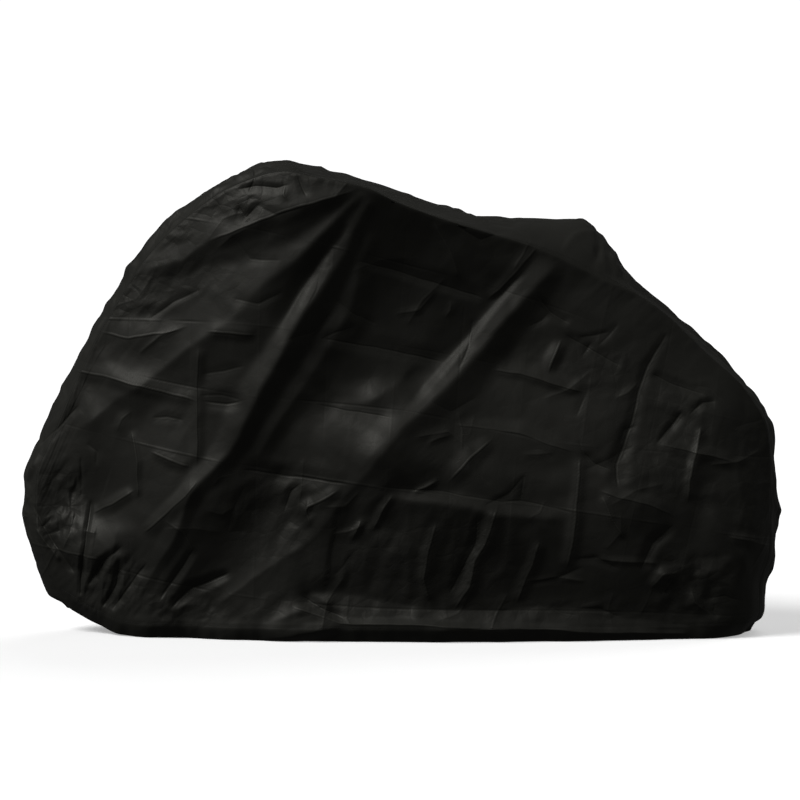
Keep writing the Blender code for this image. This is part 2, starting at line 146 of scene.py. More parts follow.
# Folds of a side panel: the radius of the crest in mm, then the points of its line. The cross-section falls
# in a straight line from the fold to nothing over the width of the left flank and of the right one, as seen
# looking along it. A height below 0 is a valley. left, right and height are in mm.
PATH_COLUMNS = ("x", "z", "left", "right", "height")
MAIN_FOLDS = 10  # folds at the head of the table that both sides share
LEFT_OUT = 0.3  # share of the rest that the right side does without
LEFT_FOLDS = (
    # lip over the handlebar
    (1.8, (-0.090, 1.070, 10, 15, 3), (-0.140, 1.055, 24, 34, 7), (-0.235, 1.025, 64, 93, 15),
     (-0.325, 0.995, 78, 123, 19), (-0.420, 0.960, 66, 118, 19), (-0.470, 0.935, 49, 83, 15),
     (-0.515, 0.900, 34, 64, 12), (-0.580, 0.890, 29, 49, 10), (-0.650, 0.870, 20, 34, 6)),
    # edge of the lip
    (1.2, (-0.105, 1.065, 12, 24, 2), (-0.165, 1.045, 22, 54, 5), (-0.235, 1.025, 29, 88, 7),
     (-0.325, 0.995, 32, 108, 7), (-0.420, 0.960, 29, 98, 6), (-0.465, 0.940, 22, 59, 3)),
    # broad fold, grip to front rim
    (1.8, (-0.080, 1.060, 7, 12, 3), (-0.130, 1.015, 12, 17, 6), (-0.180, 0.965, 20, 27, 10),
     (-0.225, 0.920, 29, 39, 13), (-0.260, 0.885, 49, 59, 15), (-0.305, 0.855, 83, 74, 16),
     (-0.355, 0.810, 113, 93, 17), (-0.395, 0.765, 113, 103, 19), (-0.475, 0.710, 88, 78, 20),
     (-0.540, 0.665, 69, 69, 18), (-0.610, 0.610, 56, 78, 15), (-0.675, 0.570, 74, 83, 15),
     (-0.740, 0.520, 98, 44, 19), (-0.810, 0.475, 88, 29, 10)),
    # narrow fold, grip to front hem
    (1.8, (-0.065, 1.050, 10, 15, 4), (-0.105, 0.970, 17, 22, 9), (-0.125, 0.920, 27, 27, 12),
     (-0.165, 0.865, 37, 32, 15), (-0.205, 0.805, 42, 32, 18), (-0.240, 0.750, 44, 34, 20),
     (-0.275, 0.685, 44, 42, 21), (-0.305, 0.635, 42, 47, 22), (-0.335, 0.580, 42, 49, 19),
     (-0.380, 0.485, 29, 49, 14), (-0.410, 0.440, 27, 44, 13), (-0.445, 0.405, 27, 39, 12),
     (-0.475, 0.375, 27, 34, 12), (-0.500, 0.335, 24, 32, 11), (-0.535, 0.245, 22, 32, 9),
     (-0.575, 0.185, 20, 29, 7), (-0.625, 0.095, 15, 24, 4)),
    # third fold of the star
    (1.8, (-0.060, 0.975, 20, 15, 3), (-0.090, 0.900, 34, 22, 7), (-0.110, 0.805, 44, 34, 10),
     (-0.155, 0.715, 54, 39, 11), (-0.210, 0.630, 44, 39, 9), (-0.255, 0.570, 39, 34, 8),
     (-0.300, 0.500, 29, 29, 6), (-0.345, 0.420, 24, 24, 3)),
    # fold, saddle to front hem
    (1.8, (0.390, 0.910, 24, 34, 6), (0.350, 0.870, 34, 54, 13), (0.315, 0.835, 39, 49, 17),
     (0.250, 0.765, 49, 49, 20), (0.195, 0.690, 59, 54, 22), (0.150, 0.645, 69, 54, 23),
     (0.110, 0.605, 83, 59, 26), (0.070, 0.565, 103, 74, 30), (0.005, 0.505, 132, 147, 36),
     (-0.045, 0.450, 142, 196, 40), (-0.095, 0.385, 137, 191, 36), (-0.135, 0.335, 127, 137, 29),
     (-0.170, 0.290, 132, 123, 27), (-0.200, 0.255, 142, 118, 27), (-0.235, 0.225, 142, 118, 27),
     (-0.315, 0.170, 118, 113, 23), (-0.410, 0.105, 78, 74, 14), (-0.465, 0.050, 49, 39, 6)),
    # valley before the saddle fold
    (1.8, (0.295, 0.885, 12, 34, -4), (0.250, 0.835, 12, 54, -7), (0.185, 0.755, 12, 64, -8),
     (0.120, 0.680, 12, 64, -8), (0.055, 0.605, 15, 54, -7), (0.010, 0.555, 15, 34, -3)),
    # valley before the narrow fold
    (1.8, (-0.115, 0.990, 7, 15, -3), (-0.160, 0.935, 10, 22, -6), (-0.200, 0.880, 10, 29, -7),
     (-0.235, 0.830, 10, 34, -7), (-0.265, 0.775, 12, 39, -5), (-0.290, 0.725, 12, 34, -2)),
    # small fold in front of it
    (1, (0.325, 0.935, 7, 12, 4), (0.285, 0.885, 10, 20, 7), (0.235, 0.835, 10, 17, 6),
     (0.205, 0.810, 7, 12, 2)),
    # swell above crease 4
    (3, (-0.325, 0.400, 98, 147, 6), (-0.240, 0.390, 157, 270, 18), (-0.140, 0.380, 157, 294, 22),
     (-0.090, 0.370, 108, 196, 12)),
    # streak beside the narrow fold
    (1, (-0.475, 0.385, 20, 15, 6), (-0.505, 0.350, 22, 20, 9), (-0.560, 0.300, 24, 22, 9),
     (-0.615, 0.250, 20, 15, 5)),
    # groove above the front hem
    (1.5, (-0.400, 0.165, 12, 12, -4), (-0.440, 0.145, 17, 20, -8), (-0.500, 0.120, 20, 20, -9),
     (-0.550, 0.070, 12, 12, -5)),
    # facet on the front wheel
    (1.8, (-0.675, 0.320, 54, 83, 6), (-0.680, 0.260, 59, 123, 14), (-0.690, 0.195, 59, 123, 15),
     (-0.700, 0.120, 39, 83, 8)),
    # lower edge of the facet
    (1.5, (-0.885, 0.220, 83, 29, 5), (-0.825, 0.205, 110, 39, 13), (-0.740, 0.190, 110, 39, 14),
     (-0.695, 0.185, 64, 24, 5)),
    # hollow at the front wheel
    (1.6, (-0.880, 0.390, 49, 83, -6), (-0.820, 0.360, 88, 123, -16), (-0.725, 0.310, 98, 113, -16),
     (-0.650, 0.295, 74, 64, -6)),
    # light line along the hem
    (1.5, (-0.260, 0.085, 10, 12, 3), (-0.195, 0.065, 12, 22, 6), (-0.140, 0.045, 12, 29, 7),
     (0.000, 0.045, 12, 29, 7), (0.190, 0.035, 11, 27, 6), (0.380, 0.030, 11, 24, 5),
     (0.475, 0.020, 11, 20, 4), (0.690, 0.015, 7, 17, 2)),
    # bright corner of the hem
    (3, (-0.340, 0.000, 34, 15, 6), (-0.260, 0.015, 64, 20, 15), (-0.185, 0.030, 49, 20, 13),
     (-0.130, 0.040, 24, 15, 4)),
    # gutter above the hem
    (2, (-0.255, 0.115, 24, 22, -4), (-0.140, 0.115, 49, 44, -8), (-0.045, 0.100, 108, 49, -11),
     (0.045, 0.085, 147, 39, -15), (0.095, 0.075, 157, 37, -15), (0.235, 0.075, 162, 37, -15),
     (0.305, 0.085, 152, 47, -14), (0.400, 0.080, 147, 44, -13), (0.475, 0.060, 152, 34, -10),
     (0.570, 0.050, 147, 29, -8), (0.715, 0.030, 118, 24, -6), (0.820, 0.020, 59, 20, -3)),
    # shelf in the rear corner
    (2, (0.715, 0.335, 20, 34, 4), (0.765, 0.265, 24, 49, 10), (0.810, 0.200, 24, 54, 10),
     (0.845, 0.130, 20, 34, 5)),
    # valley of crease 4
    (1.2, (-0.065, 0.375, 34, 15, -4), (0.000, 0.365, 59, 22, -9), (0.095, 0.360, 69, 24, -10),
     (0.235, 0.335, 59, 27, -9), (0.285, 0.335, 54, 27, -9), (0.410, 0.310, 34, 20, -5)),
    # ridge under crease 4
    (2.5, (-0.035, 0.350, 20, 49, 4), (0.025, 0.340, 24, 74, 9), (0.140, 0.330, 24, 88, 10),
     (0.235, 0.305, 27, 98, 10), (0.330, 0.295, 24, 98, 8), (0.405, 0.290, 20, 59, 4)),
    # crease 3, rear
    (1, (0.120, 0.520, 7, 34, 2), (0.190, 0.510, 20, 59, 7), (0.285, 0.495, 27, 74, 9),
     (0.355, 0.470, 22, 64, 7), (0.420, 0.450, 12, 34, 3)),
    # crease 3, middle
    (1, (-0.210, 0.565, 34, 20, -3), (-0.120, 0.550, 44, 29, -8), (-0.005, 0.530, 34, 34, -5)),
    # crease 1, middle
    (1, (-0.105, 0.900, 24, 10, -3), (0.000, 0.875, 34, 12, -6), (0.095, 0.845, 34, 15, -7),
     (0.205, 0.810, 24, 15, -4)),
    # crease 2, middle
    (1, (-0.195, 0.720, 24, 12, -3), (-0.070, 0.700, 34, 17, -6), (0.110, 0.660, 29, 17, -5)),
    # crease 2, front
    (1, (-0.725, 0.735, 34, 34, 4), (-0.645, 0.720, 49, 69, 10), (-0.570, 0.730, 49, 59, 10),
     (-0.505, 0.740, 29, 29, 3)),
    # crease 2, between the folds
    (1, (-0.460, 0.735, 20, 12, 3), (-0.390, 0.730, 29, 15, 7), (-0.330, 0.725, 20, 12, 4)),
    # crease 3, front
    (1, (-0.790, 0.640, 24, 15, 4), (-0.695, 0.625, 34, 20, 8), (-0.595, 0.600, 29, 20, 7),
     (-0.475, 0.570, 24, 17, 5)),
    # crease 3, front, end
    (1, (-0.475, 0.570, 20, 17, -4), (-0.410, 0.565, 24, 20, -6), (-0.360, 0.575, 17, 17, -4)),
    # crease 2, rear
    (1, (0.215, 0.645, 24, 12, 4), (0.285, 0.635, 29, 15, 7), (0.355, 0.615, 29, 15, 8),
     (0.440, 0.590, 22, 12, 5)),
    # crease 4, rear
    (1, (0.465, 0.365, 12, 29, 4), (0.515, 0.345, 20, 64, 8), (0.580, 0.330, 24, 78, 9),
     (0.660, 0.295, 20, 49, 5)),
    # crease 4, front
    (1, (-0.385, 0.410, 24, 20, -4), (-0.310, 0.400, 29, 22, -8), (-0.215, 0.390, 29, 22, -8),
     (-0.115, 0.375, 20, 17, -4)),
    # crease 4, far front
    (1, (-0.595, 0.450, 12, 10, 3), (-0.540, 0.430, 20, 15, 6), (-0.490, 0.415, 15, 10, 4)),
    # bright facet beside the saddle fold
    (3, (0.010, 0.540, 54, 39, 5), (-0.035, 0.480, 93, 162, 15), (-0.085, 0.420, 98, 186, 19),
     (-0.130, 0.355, 74, 123, 8)),
    # wedge between creases 2 and 3
    (1.8, (0.040, 0.670, 29, 20, 4), (0.000, 0.615, 54, 44, 9), (-0.070, 0.570, 49, 54, 10),
     (-0.175, 0.565, 29, 39, 3)),
    # curl at the end of crease 4, 1
    (1, (-0.230, 0.380, 12, 12, -5), (-0.255, 0.360, 15, 15, -7), (-0.275, 0.310, 10, 10, -4)),
    # curl at the end of crease 4, 2
    (1.2, (-0.140, 0.365, 15, 15, 4), (-0.190, 0.335, 20, 20, 8), (-0.225, 0.320, 17, 20, 8),
     (-0.210, 0.270, 12, 15, 4)),
    # peak right of the saddle fold
    (1.2, (0.220, 0.485, 17, 12, 4), (0.170, 0.440, 29, 34, 7), (0.105, 0.375, 20, 27, 3)),
    # streak beside the peak
    (1, (0.090, 0.385, 7, 7, 4), (0.060, 0.370, 7, 7, 5), (0.030, 0.360, 7, 7, 3)),
    # upright 1
    (1, (-0.015, 0.355, 12, 12, 4), (-0.040, 0.315, 12, 15, 8), (-0.065, 0.265, 10, 12, 5)),
    # upright 2
    (1, (-0.090, 0.295, 10, 10, 5), (-0.115, 0.240, 10, 10, 4)),
    # upright 3
    (1.2, (0.085, 0.290, 15, 15, 5), (0.065, 0.205, 20, 17, 8), (0.055, 0.150, 17, 15, 8),
     (0.070, 0.095, 12, 12, 4)),
    # upright 4
    (1.5, (0.230, 0.330, 20, 20, 6), (0.200, 0.235, 24, 22, 10), (0.175, 0.190, 20, 22, 9),
     (0.165, 0.135, 17, 17, 10), (0.125, 0.075, 15, 15, 6)),
    # groove beside upright 4
    (1.2, (0.185, 0.310, 15, 15, -4), (0.180, 0.240, 15, 17, -7), (0.140, 0.160, 15, 17, -6),
     (0.115, 0.110, 12, 12, -3)),
    # upright 5
    (1.2, (0.330, 0.245, 15, 12, 5), (0.310, 0.180, 17, 17, 8), (0.290, 0.135, 17, 15, 8),
     (0.275, 0.090, 12, 12, 5)),
    # upright 6
    (1.2, (0.425, 0.440, 12, 12, 4), (0.415, 0.305, 20, 20, 8), (0.405, 0.225, 20, 20, 8),
     (0.390, 0.170, 15, 15, 5)),
    # slant below crease 4
    (1, (0.475, 0.350, 10, 10, 4), (0.500, 0.295, 12, 12, 6), (0.530, 0.245, 10, 10, 4)),
    # slant above crease 4
    (1, (0.425, 0.455, 15, 15, -5), (0.455, 0.425, 17, 15, -7), (0.500, 0.405, 12, 12, -4)),
    # long upright behind the saddle
    (1, (0.640, 0.735, 10, 12, -3), (0.590, 0.655, 12, 15, -5), (0.565, 0.585, 15, 15, -5),
     (0.550, 0.525, 20, 20, -6), (0.525, 0.460, 29, 24, -9), (0.510, 0.420, 34, 22, -9),
     (0.515, 0.360, 20, 15, -4)),
    # slant 1 behind the saddle
    (1, (0.675, 0.550, 12, 12, -4), (0.640, 0.505, 15, 12, -7), (0.605, 0.465, 12, 10, -5)),
    # slant 2 behind the saddle
    (1, (0.760, 0.570, 15, 12, -4), (0.720, 0.565, 17, 12, -6), (0.685, 0.535, 12, 10, -4)),
    # level behind the saddle 1
    (1, (0.615, 0.470, 15, 15, 4), (0.715, 0.445, 20, 22, 6), (0.800, 0.425, 15, 17, 4)),
    # level behind the saddle 2
    (1, (0.595, 0.635, 12, 10, -4), (0.660, 0.605, 20, 15, -6), (0.730, 0.580, 12, 10, -4)),
    # sharp upright at the rear
    (1, (0.715, 0.515, 15, 7, 4), (0.705, 0.460, 24, 12, 8), (0.685, 0.380, 34, 15, 10),
     (0.680, 0.325, 20, 10, 4)),
    # dent under the saddle
    (1, (0.325, 0.820, 15, 12, -4), (0.355, 0.780, 17, 12, -7), (0.405, 0.750, 12, 10, -4)),
    # facet under crease 1
    (1.2, (0.385, 0.720, 15, 17, 5), (0.365, 0.670, 20, 24, 9), (0.350, 0.630, 15, 17, 5)),
    # crease 1, rear
    (1, (0.385, 0.730, 20, 15, -4), (0.455, 0.690, 24, 17, -6), (0.530, 0.650, 17, 12, -4)),
    # arc in the rear corner
    (1, (0.650, 0.280, 15, 17, -6), (0.600, 0.235, 17, 22, -9), (0.570, 0.165, 12, 17, -5)),
    # knuckle in the rear corner
    (1, (0.665, 0.165, 20, 15, 7), (0.625, 0.160, 22, 20, 12), (0.590, 0.120, 15, 15, 6)),
    # groove in the knuckle
    (1, (0.650, 0.155, 10, 10, -5), (0.620, 0.105, 10, 10, -6)),
    # second knuckle
    (1.2, (0.690, 0.130, 22, 17, 6), (0.700, 0.090, 29, 24, 11), (0.740, 0.060, 17, 20, 6)),
    # line at the rear edge
    (1, (0.775, 0.250, 15, 15, 5), (0.840, 0.235, 17, 20, 7), (0.900, 0.215, 12, 15, 4)),
    # tuck at the front wheel
    (1, (-0.745, 0.330, 7, 9, -4), (-0.755, 0.230, 10, 11, -7), (-0.775, 0.090, 7, 10, -5)),
    # second tuck
    (1, (-0.660, 0.225, 12, 10, -5), (-0.715, 0.180, 15, 15, -8), (-0.755, 0.115, 12, 12, -6)),
    # third tuck
    (1, (-0.670, 0.195, 10, 10, -4), (-0.680, 0.125, 12, 12, -7), (-0.720, 0.065, 10, 10, -5)),
    # fourth tuck
    (1, (-0.600, 0.185, 12, 12, -3), (-0.655, 0.115, 15, 15, -6), (-0.695, 0.060, 12, 12, -4)),
    # fifth tuck
    (1, (-0.485, 0.225, 12, 12, -3), (-0.530, 0.155, 15, 15, -6), (-0.575, 0.090, 12, 12, -4)),
    # streak above the tuck
    (1.2, (-0.630, 0.360, 15, 15, 6), (-0.690, 0.320, 20, 17, 8), (-0.745, 0.295, 15, 15, 5)),
    # wavy upright at the front
    (1, (-0.640, 0.500, 12, 12, 4), (-0.625, 0.425, 15, 17, 7), (-0.625, 0.335, 12, 12, 5)),
    # upright above crease 4
    (1, (-0.475, 0.705, 17, 17, 5), (-0.480, 0.575, 20, 22, 6), (-0.480, 0.415, 17, 17, 5)),
    # edge line, front 1
    (1, (-0.895, 0.320, 12, 12, -5), (-0.845, 0.230, 15, 15, -8), (-0.785, 0.145, 12, 12, -6)),
    # edge line, front 2
    (1, (-0.890, 0.260, 10, 10, 5), (-0.820, 0.175, 10, 10, 5)),
    # edge line, front 3
    (1, (-0.875, 0.450, 12, 12, -4), (-0.825, 0.500, 17, 15, -6), (-0.770, 0.560, 12, 12, -4)),
    # flap, level line
    (1, (-0.385, 1.065, 10, 12, -3), (-0.340, 1.075, 10, 15, -5), (-0.285, 1.070, 10, 15, -5),
     (-0.255, 1.080, 10, 10, -3)),
    # flap, upright 1
    (1, (-0.335, 1.120, 10, 10, -3), (-0.340, 1.085, 12, 12, -5), (-0.355, 1.055, 10, 10, -3)),
    # flap, upright 2
    (1, (-0.240, 1.105, 10, 10, -4), (-0.230, 1.075, 12, 10, -6), (-0.215, 1.045, 10, 7, -3)),
    # flap, upright 3
    (1, (-0.265, 1.085, 10, 12, 3), (-0.270, 1.055, 12, 15, 5), (-0.260, 1.035, 10, 12, 4)),
    # flap, bent line
    (1, (-0.385, 1.035, 10, 12, -3), (-0.360, 1.000, 12, 15, -6), (-0.340, 1.020, 12, 12, -4),
     (-0.320, 1.040, 10, 10, -2)),
    # crease across the lump
    (1, (-0.240, 0.110, 15, 15, -5), (-0.190, 0.080, 17, 17, -8), (-0.130, 0.055, 12, 12, -5)),
    # lump above the front hem
    (2.5, (-0.315, 0.045, 24, 24, 5), (-0.240, 0.070, 34, 29, 10), (-0.135, 0.105, 24, 24, 5)),
)
STRIP_FOLDS = (  # here x runs across the strip and z along it
    # left grip to the front wheel
    (3, (-0.270, 1.430, 30, 40, 10), (-0.134, 1.069, 32, 35, 9), (-0.020, 0.700, 34, 30, 6)),
    # right grip to the front wheel
    (3, (0.265, 1.420, 40, 30, 11), (0.134, 1.034, 35, 32, 9), (0.030, 0.640, 30, 34, 6)),
    # hollow beside it, left
    (4, (-0.180, 1.360, 24, 30, -8), (-0.112, 1.172, 22, 27, -7), (-0.060, 0.980, 20, 24, -5)),
    # hollow beside it, right
    (4, (0.170, 1.350, 30, 24, -8), (0.112, 1.147, 27, 22, -7), (0.070, 0.940, 24, 20, -5)),
    # first sag below the handlebar
    (2, (-0.150, 0.780, 26, 30, -7), (-0.003, 0.764, 26, 30, -3), (0.140, 0.740, 26, 30, -6)),
    # second sag
    (2, (-0.110, 0.560, 22, 26, -5), (0.004, 0.575, 22, 26, -3), (0.115, 0.590, 22, 26, -6)),
    # pleat at the left seam
    (1.5, (-0.145, 0.930, 18, 28, 6), (-0.090, 0.905, 18, 30, 6), (-0.020, 0.860, 18, 26, 4)),
    # pleat at the front wheel
    (1.5, (-0.120, 0.400, 14, 24, 5), (-0.070, 0.380, 16, 28, 6), (-0.010, 0.330, 14, 24, 3)),
    # along the front wheel
    (3, (0.005, 0.620, 26, 24, 7), (0.000, 0.370, 25, 24, 6), (-0.015, 0.120, 24, 24, 5)),
    # behind the handlebar
    (4, (-0.280, 1.520, 34, 26, -8), (-0.006, 1.484, 34, 26, -4), (0.270, 1.500, 34, 26, -8)),
    # slanting sag, one way
    (2, (-0.240, 1.610, 26, 30, 6), (-0.026, 1.755, 28, 28, 2), (0.200, 1.880, 30, 26, 7)),
    # slanting sag, the other way
    (2, (0.250, 1.600, 30, 26, 6), (0.053, 1.761, 28, 28, 2), (-0.160, 1.900, 26, 30, 7)),
    # in front of the saddle
    (4, (-0.165, 1.940, 20, 24, -5), (0.003, 1.953, 20, 24, -2), (0.170, 1.930, 20, 24, -6)),
    # crease behind the saddle
    (1.5, (-0.150, 2.170, 14, 18, -7), (-0.003, 2.158, 14, 18, -4), (0.145, 2.165, 14, 18, -7)),
    # tuck under it
    (1.5, (-0.125, 2.215, 12, 16, 6), (-0.060, 2.230, 14, 20, 3), (0.010, 2.255, 12, 18, 2)),
    # saddle to the rear wheel, left
    (3, (-0.120, 2.200, 24, 24, 7), (-0.078, 2.422, 23, 25, 7), (-0.020, 2.640, 22, 26, 6)),
    # saddle to the rear wheel, right
    (3, (0.118, 2.210, 24, 24, 7), (0.080, 2.407, 25, 23, 7), (0.025, 2.600, 26, 22, 6)),
    # along the rear wheel
    (3, (0.000, 2.300, 24, 28, -6), (-0.001, 2.740, 25, 26, -6), (0.010, 3.180, 26, 24, -6)),
    # level crease over the rear wheel
    (1.5, (-0.100, 2.760, 18, 20, -5), (-0.004, 2.788, 18, 20, -3), (0.095, 2.800, 18, 20, -5)),
    # another, lower
    (1.5, (-0.085, 3.000, 14, 20, 4), (-0.010, 3.020, 14, 20, 5), (0.080, 3.050, 14, 20, 4)),
    # packing crease, front wheel
    (1.2, (-0.090, 0.235, 20, 30, 3), (-0.010, 0.240, 24, 36, 4), (0.085, 0.230, 20, 30, 3)),
    # the same, before the handlebar
    (1.2, (-0.260, 1.060, 26, 40, 4), (0.020, 1.050, 30, 50, 3), (0.270, 1.070, 26, 40, 4)),
    # the same, behind it
    (1.2, (-0.270, 1.345, 30, 44, -4), (0.010, 1.360, 34, 50, -3), (0.280, 1.350, 30, 44, -4)),
    # the same, over the top tube
    (1.2, (-0.230, 1.690, 30, 50, 4), (0.000, 1.680, 40, 50, 3), (0.240, 1.695, 30, 50, 4)),
    # the same, behind the saddle
    (1.2, (-0.140, 2.520, 26, 40, 4), (0.010, 2.510, 30, 44, 3), (0.150, 2.525, 26, 40, 4)),
    # along the strip, to the saddle
    (1.2, (0.070, 1.420, 20, 34, 5), (0.035, 1.700, 24, 40, 4), (0.050, 2.000, 20, 34, 5)),
    # along it, up to the left grip
    (1.2, (-0.080, 0.640, 18, 30, 4), (-0.100, 0.860, 22, 36, 5), (-0.150, 1.120, 20, 30, 5)),
)

# Patches where the cloth is crumpled into small flat facets: their middle and reach, the size of a facet,
# how much longer it is than wide, how far it leans to the right, in degrees, and the height. size and
# height in mm.
CRUMPLE_COLUMNS = ("x", "z", "reach_x", "reach_z", "size", "stretch", "lean", "height")
LEFT_CRUMPLES = (
    (-0.400, 1.060, 0.105, 0.070, 34, 1.5, -25, 5.0),  # flap over the handlebar
    (-0.240, 1.118, 0.125, 0.042, 30, 1.4, -10, 4.5),  # flap, by the grip
    (-0.560, 0.995, 0.070, 0.060, 22, 1.6, 60, 5.0),  # under the flap, at the edge
    (-0.640, 0.820, 0.070, 0.060, 32, 1.4, 30, 5.0),  # front edge
    (-0.500, 0.865, 0.130, 0.050, 28, 1.5, 60, 2.0),  # on the broad fold
    (-0.835, 0.320, 0.070, 0.100, 32, 1.5, 20, 6.0),  # front wheel
    (-0.700, 0.130, 0.100, 0.075, 22, 2.6, 20, 4.5),  # front pleats
    (-0.520, 0.080, 0.110, 0.050, 28, 1.8, 50, 3.5),  # above the front hem
    (-0.290, 0.300, 0.110, 0.110, 36, 2.4, 30, 3.0),  # behind the narrow fold
    (0.070, 0.210, 0.240, 0.100, 26, 3.0, 12, 3.5),  # crank
    (0.640, 0.460, 0.140, 0.150, 38, 1.2, 0, 2.8),  # rear hub
    (0.480, 0.640, 0.100, 0.060, 32, 1.2, 20, 2.2),  # below the saddle
    (0.690, 0.130, 0.100, 0.075, 44, 1.4, 25, 6.0),  # rear corner
    (0.850, 0.380, 0.050, 0.180, 26, 2.0, 0, 2.5),  # rear edge
    (-0.100, 0.085, 0.250, 0.030, 34, 1.8, 30, 3.0),  # along the hem
    (0.350, 0.075, 0.250, 0.030, 36, 2.2, 60, 2.5),  # along the hem, rear
)
RIGHT_CRUMPLES = (
    (-0.400, 1.030, 0.120, 0.090, 26, 1.3, -15, 5.0),  # flap over the handlebar
    (-0.250, 1.090, 0.120, 0.060, 24, 1.4, -20, 4.5),  # flap, by the grip
    (-0.600, 0.930, 0.080, 0.070, 20, 1.4, 50, 4.0),  # front edge, high
    (-0.700, 0.700, 0.070, 0.080, 28, 1.4, 20, 3.5),  # front edge
    (-0.820, 0.260, 0.080, 0.110, 23, 1.5, 0, 5.0),  # front wheel
    (-0.640, 0.110, 0.120, 0.080, 20, 2.4, -5, 4.0),  # front pleats
    (-0.240, 0.330, 0.130, 0.120, 36, 2.0, 30, 3.0),  # behind the narrow fold
    (0.120, 0.180, 0.260, 0.100, 27, 2.6, -8, 3.5),  # crank
    (0.600, 0.440, 0.150, 0.160, 38, 1.3, 10, 2.8),  # rear hub
    (0.740, 0.170, 0.100, 0.090, 30, 1.3, -15, 5.0),  # rear corner
    (0.400, 0.680, 0.120, 0.090, 34, 1.4, -25, 2.0),  # below the saddle
    (0.000, 0.080, 0.400, 0.030, 28, 1.8, 40, 2.8),  # along the hem
)
STRIP_CRUMPLES = (
    (0.000, 0.300, 0.100, 0.260, 30, 1.8, 0, 5.0),  # over the front wheel
    (0.030, 0.900, 0.160, 0.200, 42, 1.6, 15, 5.0),  # below the handlebar
    (-0.180, 1.280, 0.120, 0.200, 36, 1.3, -20, 6.5),  # over the left grip
    (0.160, 1.240, 0.130, 0.200, 38, 1.4, 20, 6.5),  # over the right grip
    (0.060, 1.800, 0.150, 0.160, 40, 1.5, 20, 4.0),  # before the saddle
    (0.000, 2.190, 0.120, 0.070, 26, 1.2, 0, 3.0),  # behind the saddle
    (-0.010, 2.560, 0.100, 0.200, 36, 1.6, 20, 4.0),  # rear slope
    (-0.020, 2.950, 0.100, 0.300, 32, 1.8, 0, 5.0),  # over the rear wheel
)

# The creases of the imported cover: the heights above the ground, at PACKED_KNOTS, of five level lines and of
# one more beyond each edge of the cloth, the upright
# lines' x at the height PACKED_AT and their lean, and how far out each crossing stands, in mm, row by row.
PACKED_KNOTS = (-0.90, -0.40, 0.00, 0.40, 0.90)
PACKED_LEVELS = (
    (1.30, 1.25, 1.20, 1.15, 1.10),
    (1.060, 0.985, 0.895, 0.780, 0.530),
    (0.770, 0.755, 0.700, 0.620, 0.500),
    (0.690, 0.590, 0.550, 0.470, 0.430),
    (0.530, 0.425, 0.365, 0.315, 0.235),
    (0.220, 0.110, 0.078, 0.072, 0.050),
    (-0.05, -0.05, -0.05, -0.05, -0.05),
)
PACKED_AT = 0.40
PACKED_X = (-0.800, -0.645, -0.495, -0.340, -0.185, -0.030, 0.120, 0.270, 0.420, 0.570, 0.720, 0.850)
PACKED_LEAN = (0.00, 0.00, 0.00, 0.03, 0.05, 0.08, 0.08, 0.10, 0.12, 0.25, 0.22, 0.10)
PACKED_HEIGHTS = (
    (0, 0, 0, 0, 0, 0, 0, 0, 0, 0, 0, 0),
    (2, -3, 3, -2, 2, -7, -4, -2, 3, -2, 2, 0),
    (3, 6, -4, 4, -2, -4, -8, 2, 6, 0, 4, -2),
    (-2, 5, -5, 3, -6, 0, -3, 4, 8, -2, 3, -3),
    (-4, 3, 6, -2, 8, 12, 10, 12, 6, 5, -3, 3),
    (2, -4, -3, 4, -5, -9, -8, -8, -9, -7, -5, 0),
    (0, 0, 0, 0, 0, 0, 0, 0, 0, 0, 0, 0),
)

# How the grid lines of a piece crowd together at its edges: share of the lines, share of the cloth.
PANEL_ROW_CROWDING = ((0.0, 0.0), (0.075, 0.020), (0.95, 0.980), (1.0, 1.0))
PANEL_COLUMN_CROWDING = ((0.0, 0.0), (0.02, 0.006), (0.98, 0.994), (1.0, 1.0))
STRIP_ROW_CROWDING = ((0.0, -1.0), (0.08, -0.960), (0.92, 0.960), (1.0, 1.0))
STRIP_STATION_CROWDING = ((0.0, 0.0), (0.02, 0.006), (0.98, 0.994), (1.0, 1.0))
PANEL_CELLS = (400, 190)  # along and up a side panel; even, because its inner face has half as many
STRIP_CELLS = (560, 110)  # along and across the strip

# How the seams, folds, crumples, hems and sheets are shaped.
SWING, SWINGS = 0.012, 7  # how far the right seam swings up and down against the left one, and how often
SWING_IN = 0.5  # how far it moves in as it swings up, against how far it swings
BASE_FACETS = ((0.130, 0.0042), (0.055, 0.0015))  # size and height of crumples everywhere
FADE_WIDTHS = 0.9  # a fold starts and ends over this many of its widths there
FOOT = 0.2  # share of a flank's width over which it runs out
SHARPEST = 0.0015  # radius of the sharpest crest
WANDER_LEAST, WANDER_SHARE = 0.0014, 0.02  # a fold strays by a least, plus a share of its narrower flank
LINE_WAVE = 0.16  # how long the waves of its line are
HEIGHT_WAVE, HEIGHT_WANDER = 0.30, 0.14  # how long the waves of its height are, and how much it varies
LONGEST_FADE = 0.45  # the most of a fold's length over which it starts or ends
SHARP_UP_TO = 1.5  # folds no rounder than this, in mm, have a crease line
CREASE_REACH = 0.010  # how far a crease line shows
CREASE_FULL = 4.5  # height in mm from which a crease line is full
PACK_LINES = (0.6, 0.22)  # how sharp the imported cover's level and upright creases are
PACK_WAVE, PACK_SEEDS = 0.3, (5, 6)  # how long the waves are in which their sharpness comes and goes
FOLD_FADE, AT_SEAM = 0.050, 0.60  # distance from a seam over which folds get lower, and their share there
HEM_FADE = 0.03  # distance from a seam over which the lift beside a hem fades out
CARRIED_FROM = 0.5  # share across the strip from which it shows the creases of the panel beside it
STRIP_SLANT = 1.1  # how much longer the strip's cloth is, from crown to seam, than its half width
STRIP_FADE = 0.030  # distance from a seam over which the strip's own folds fade out
SMALL_CREASES = 110  # short creases strewn over each piece
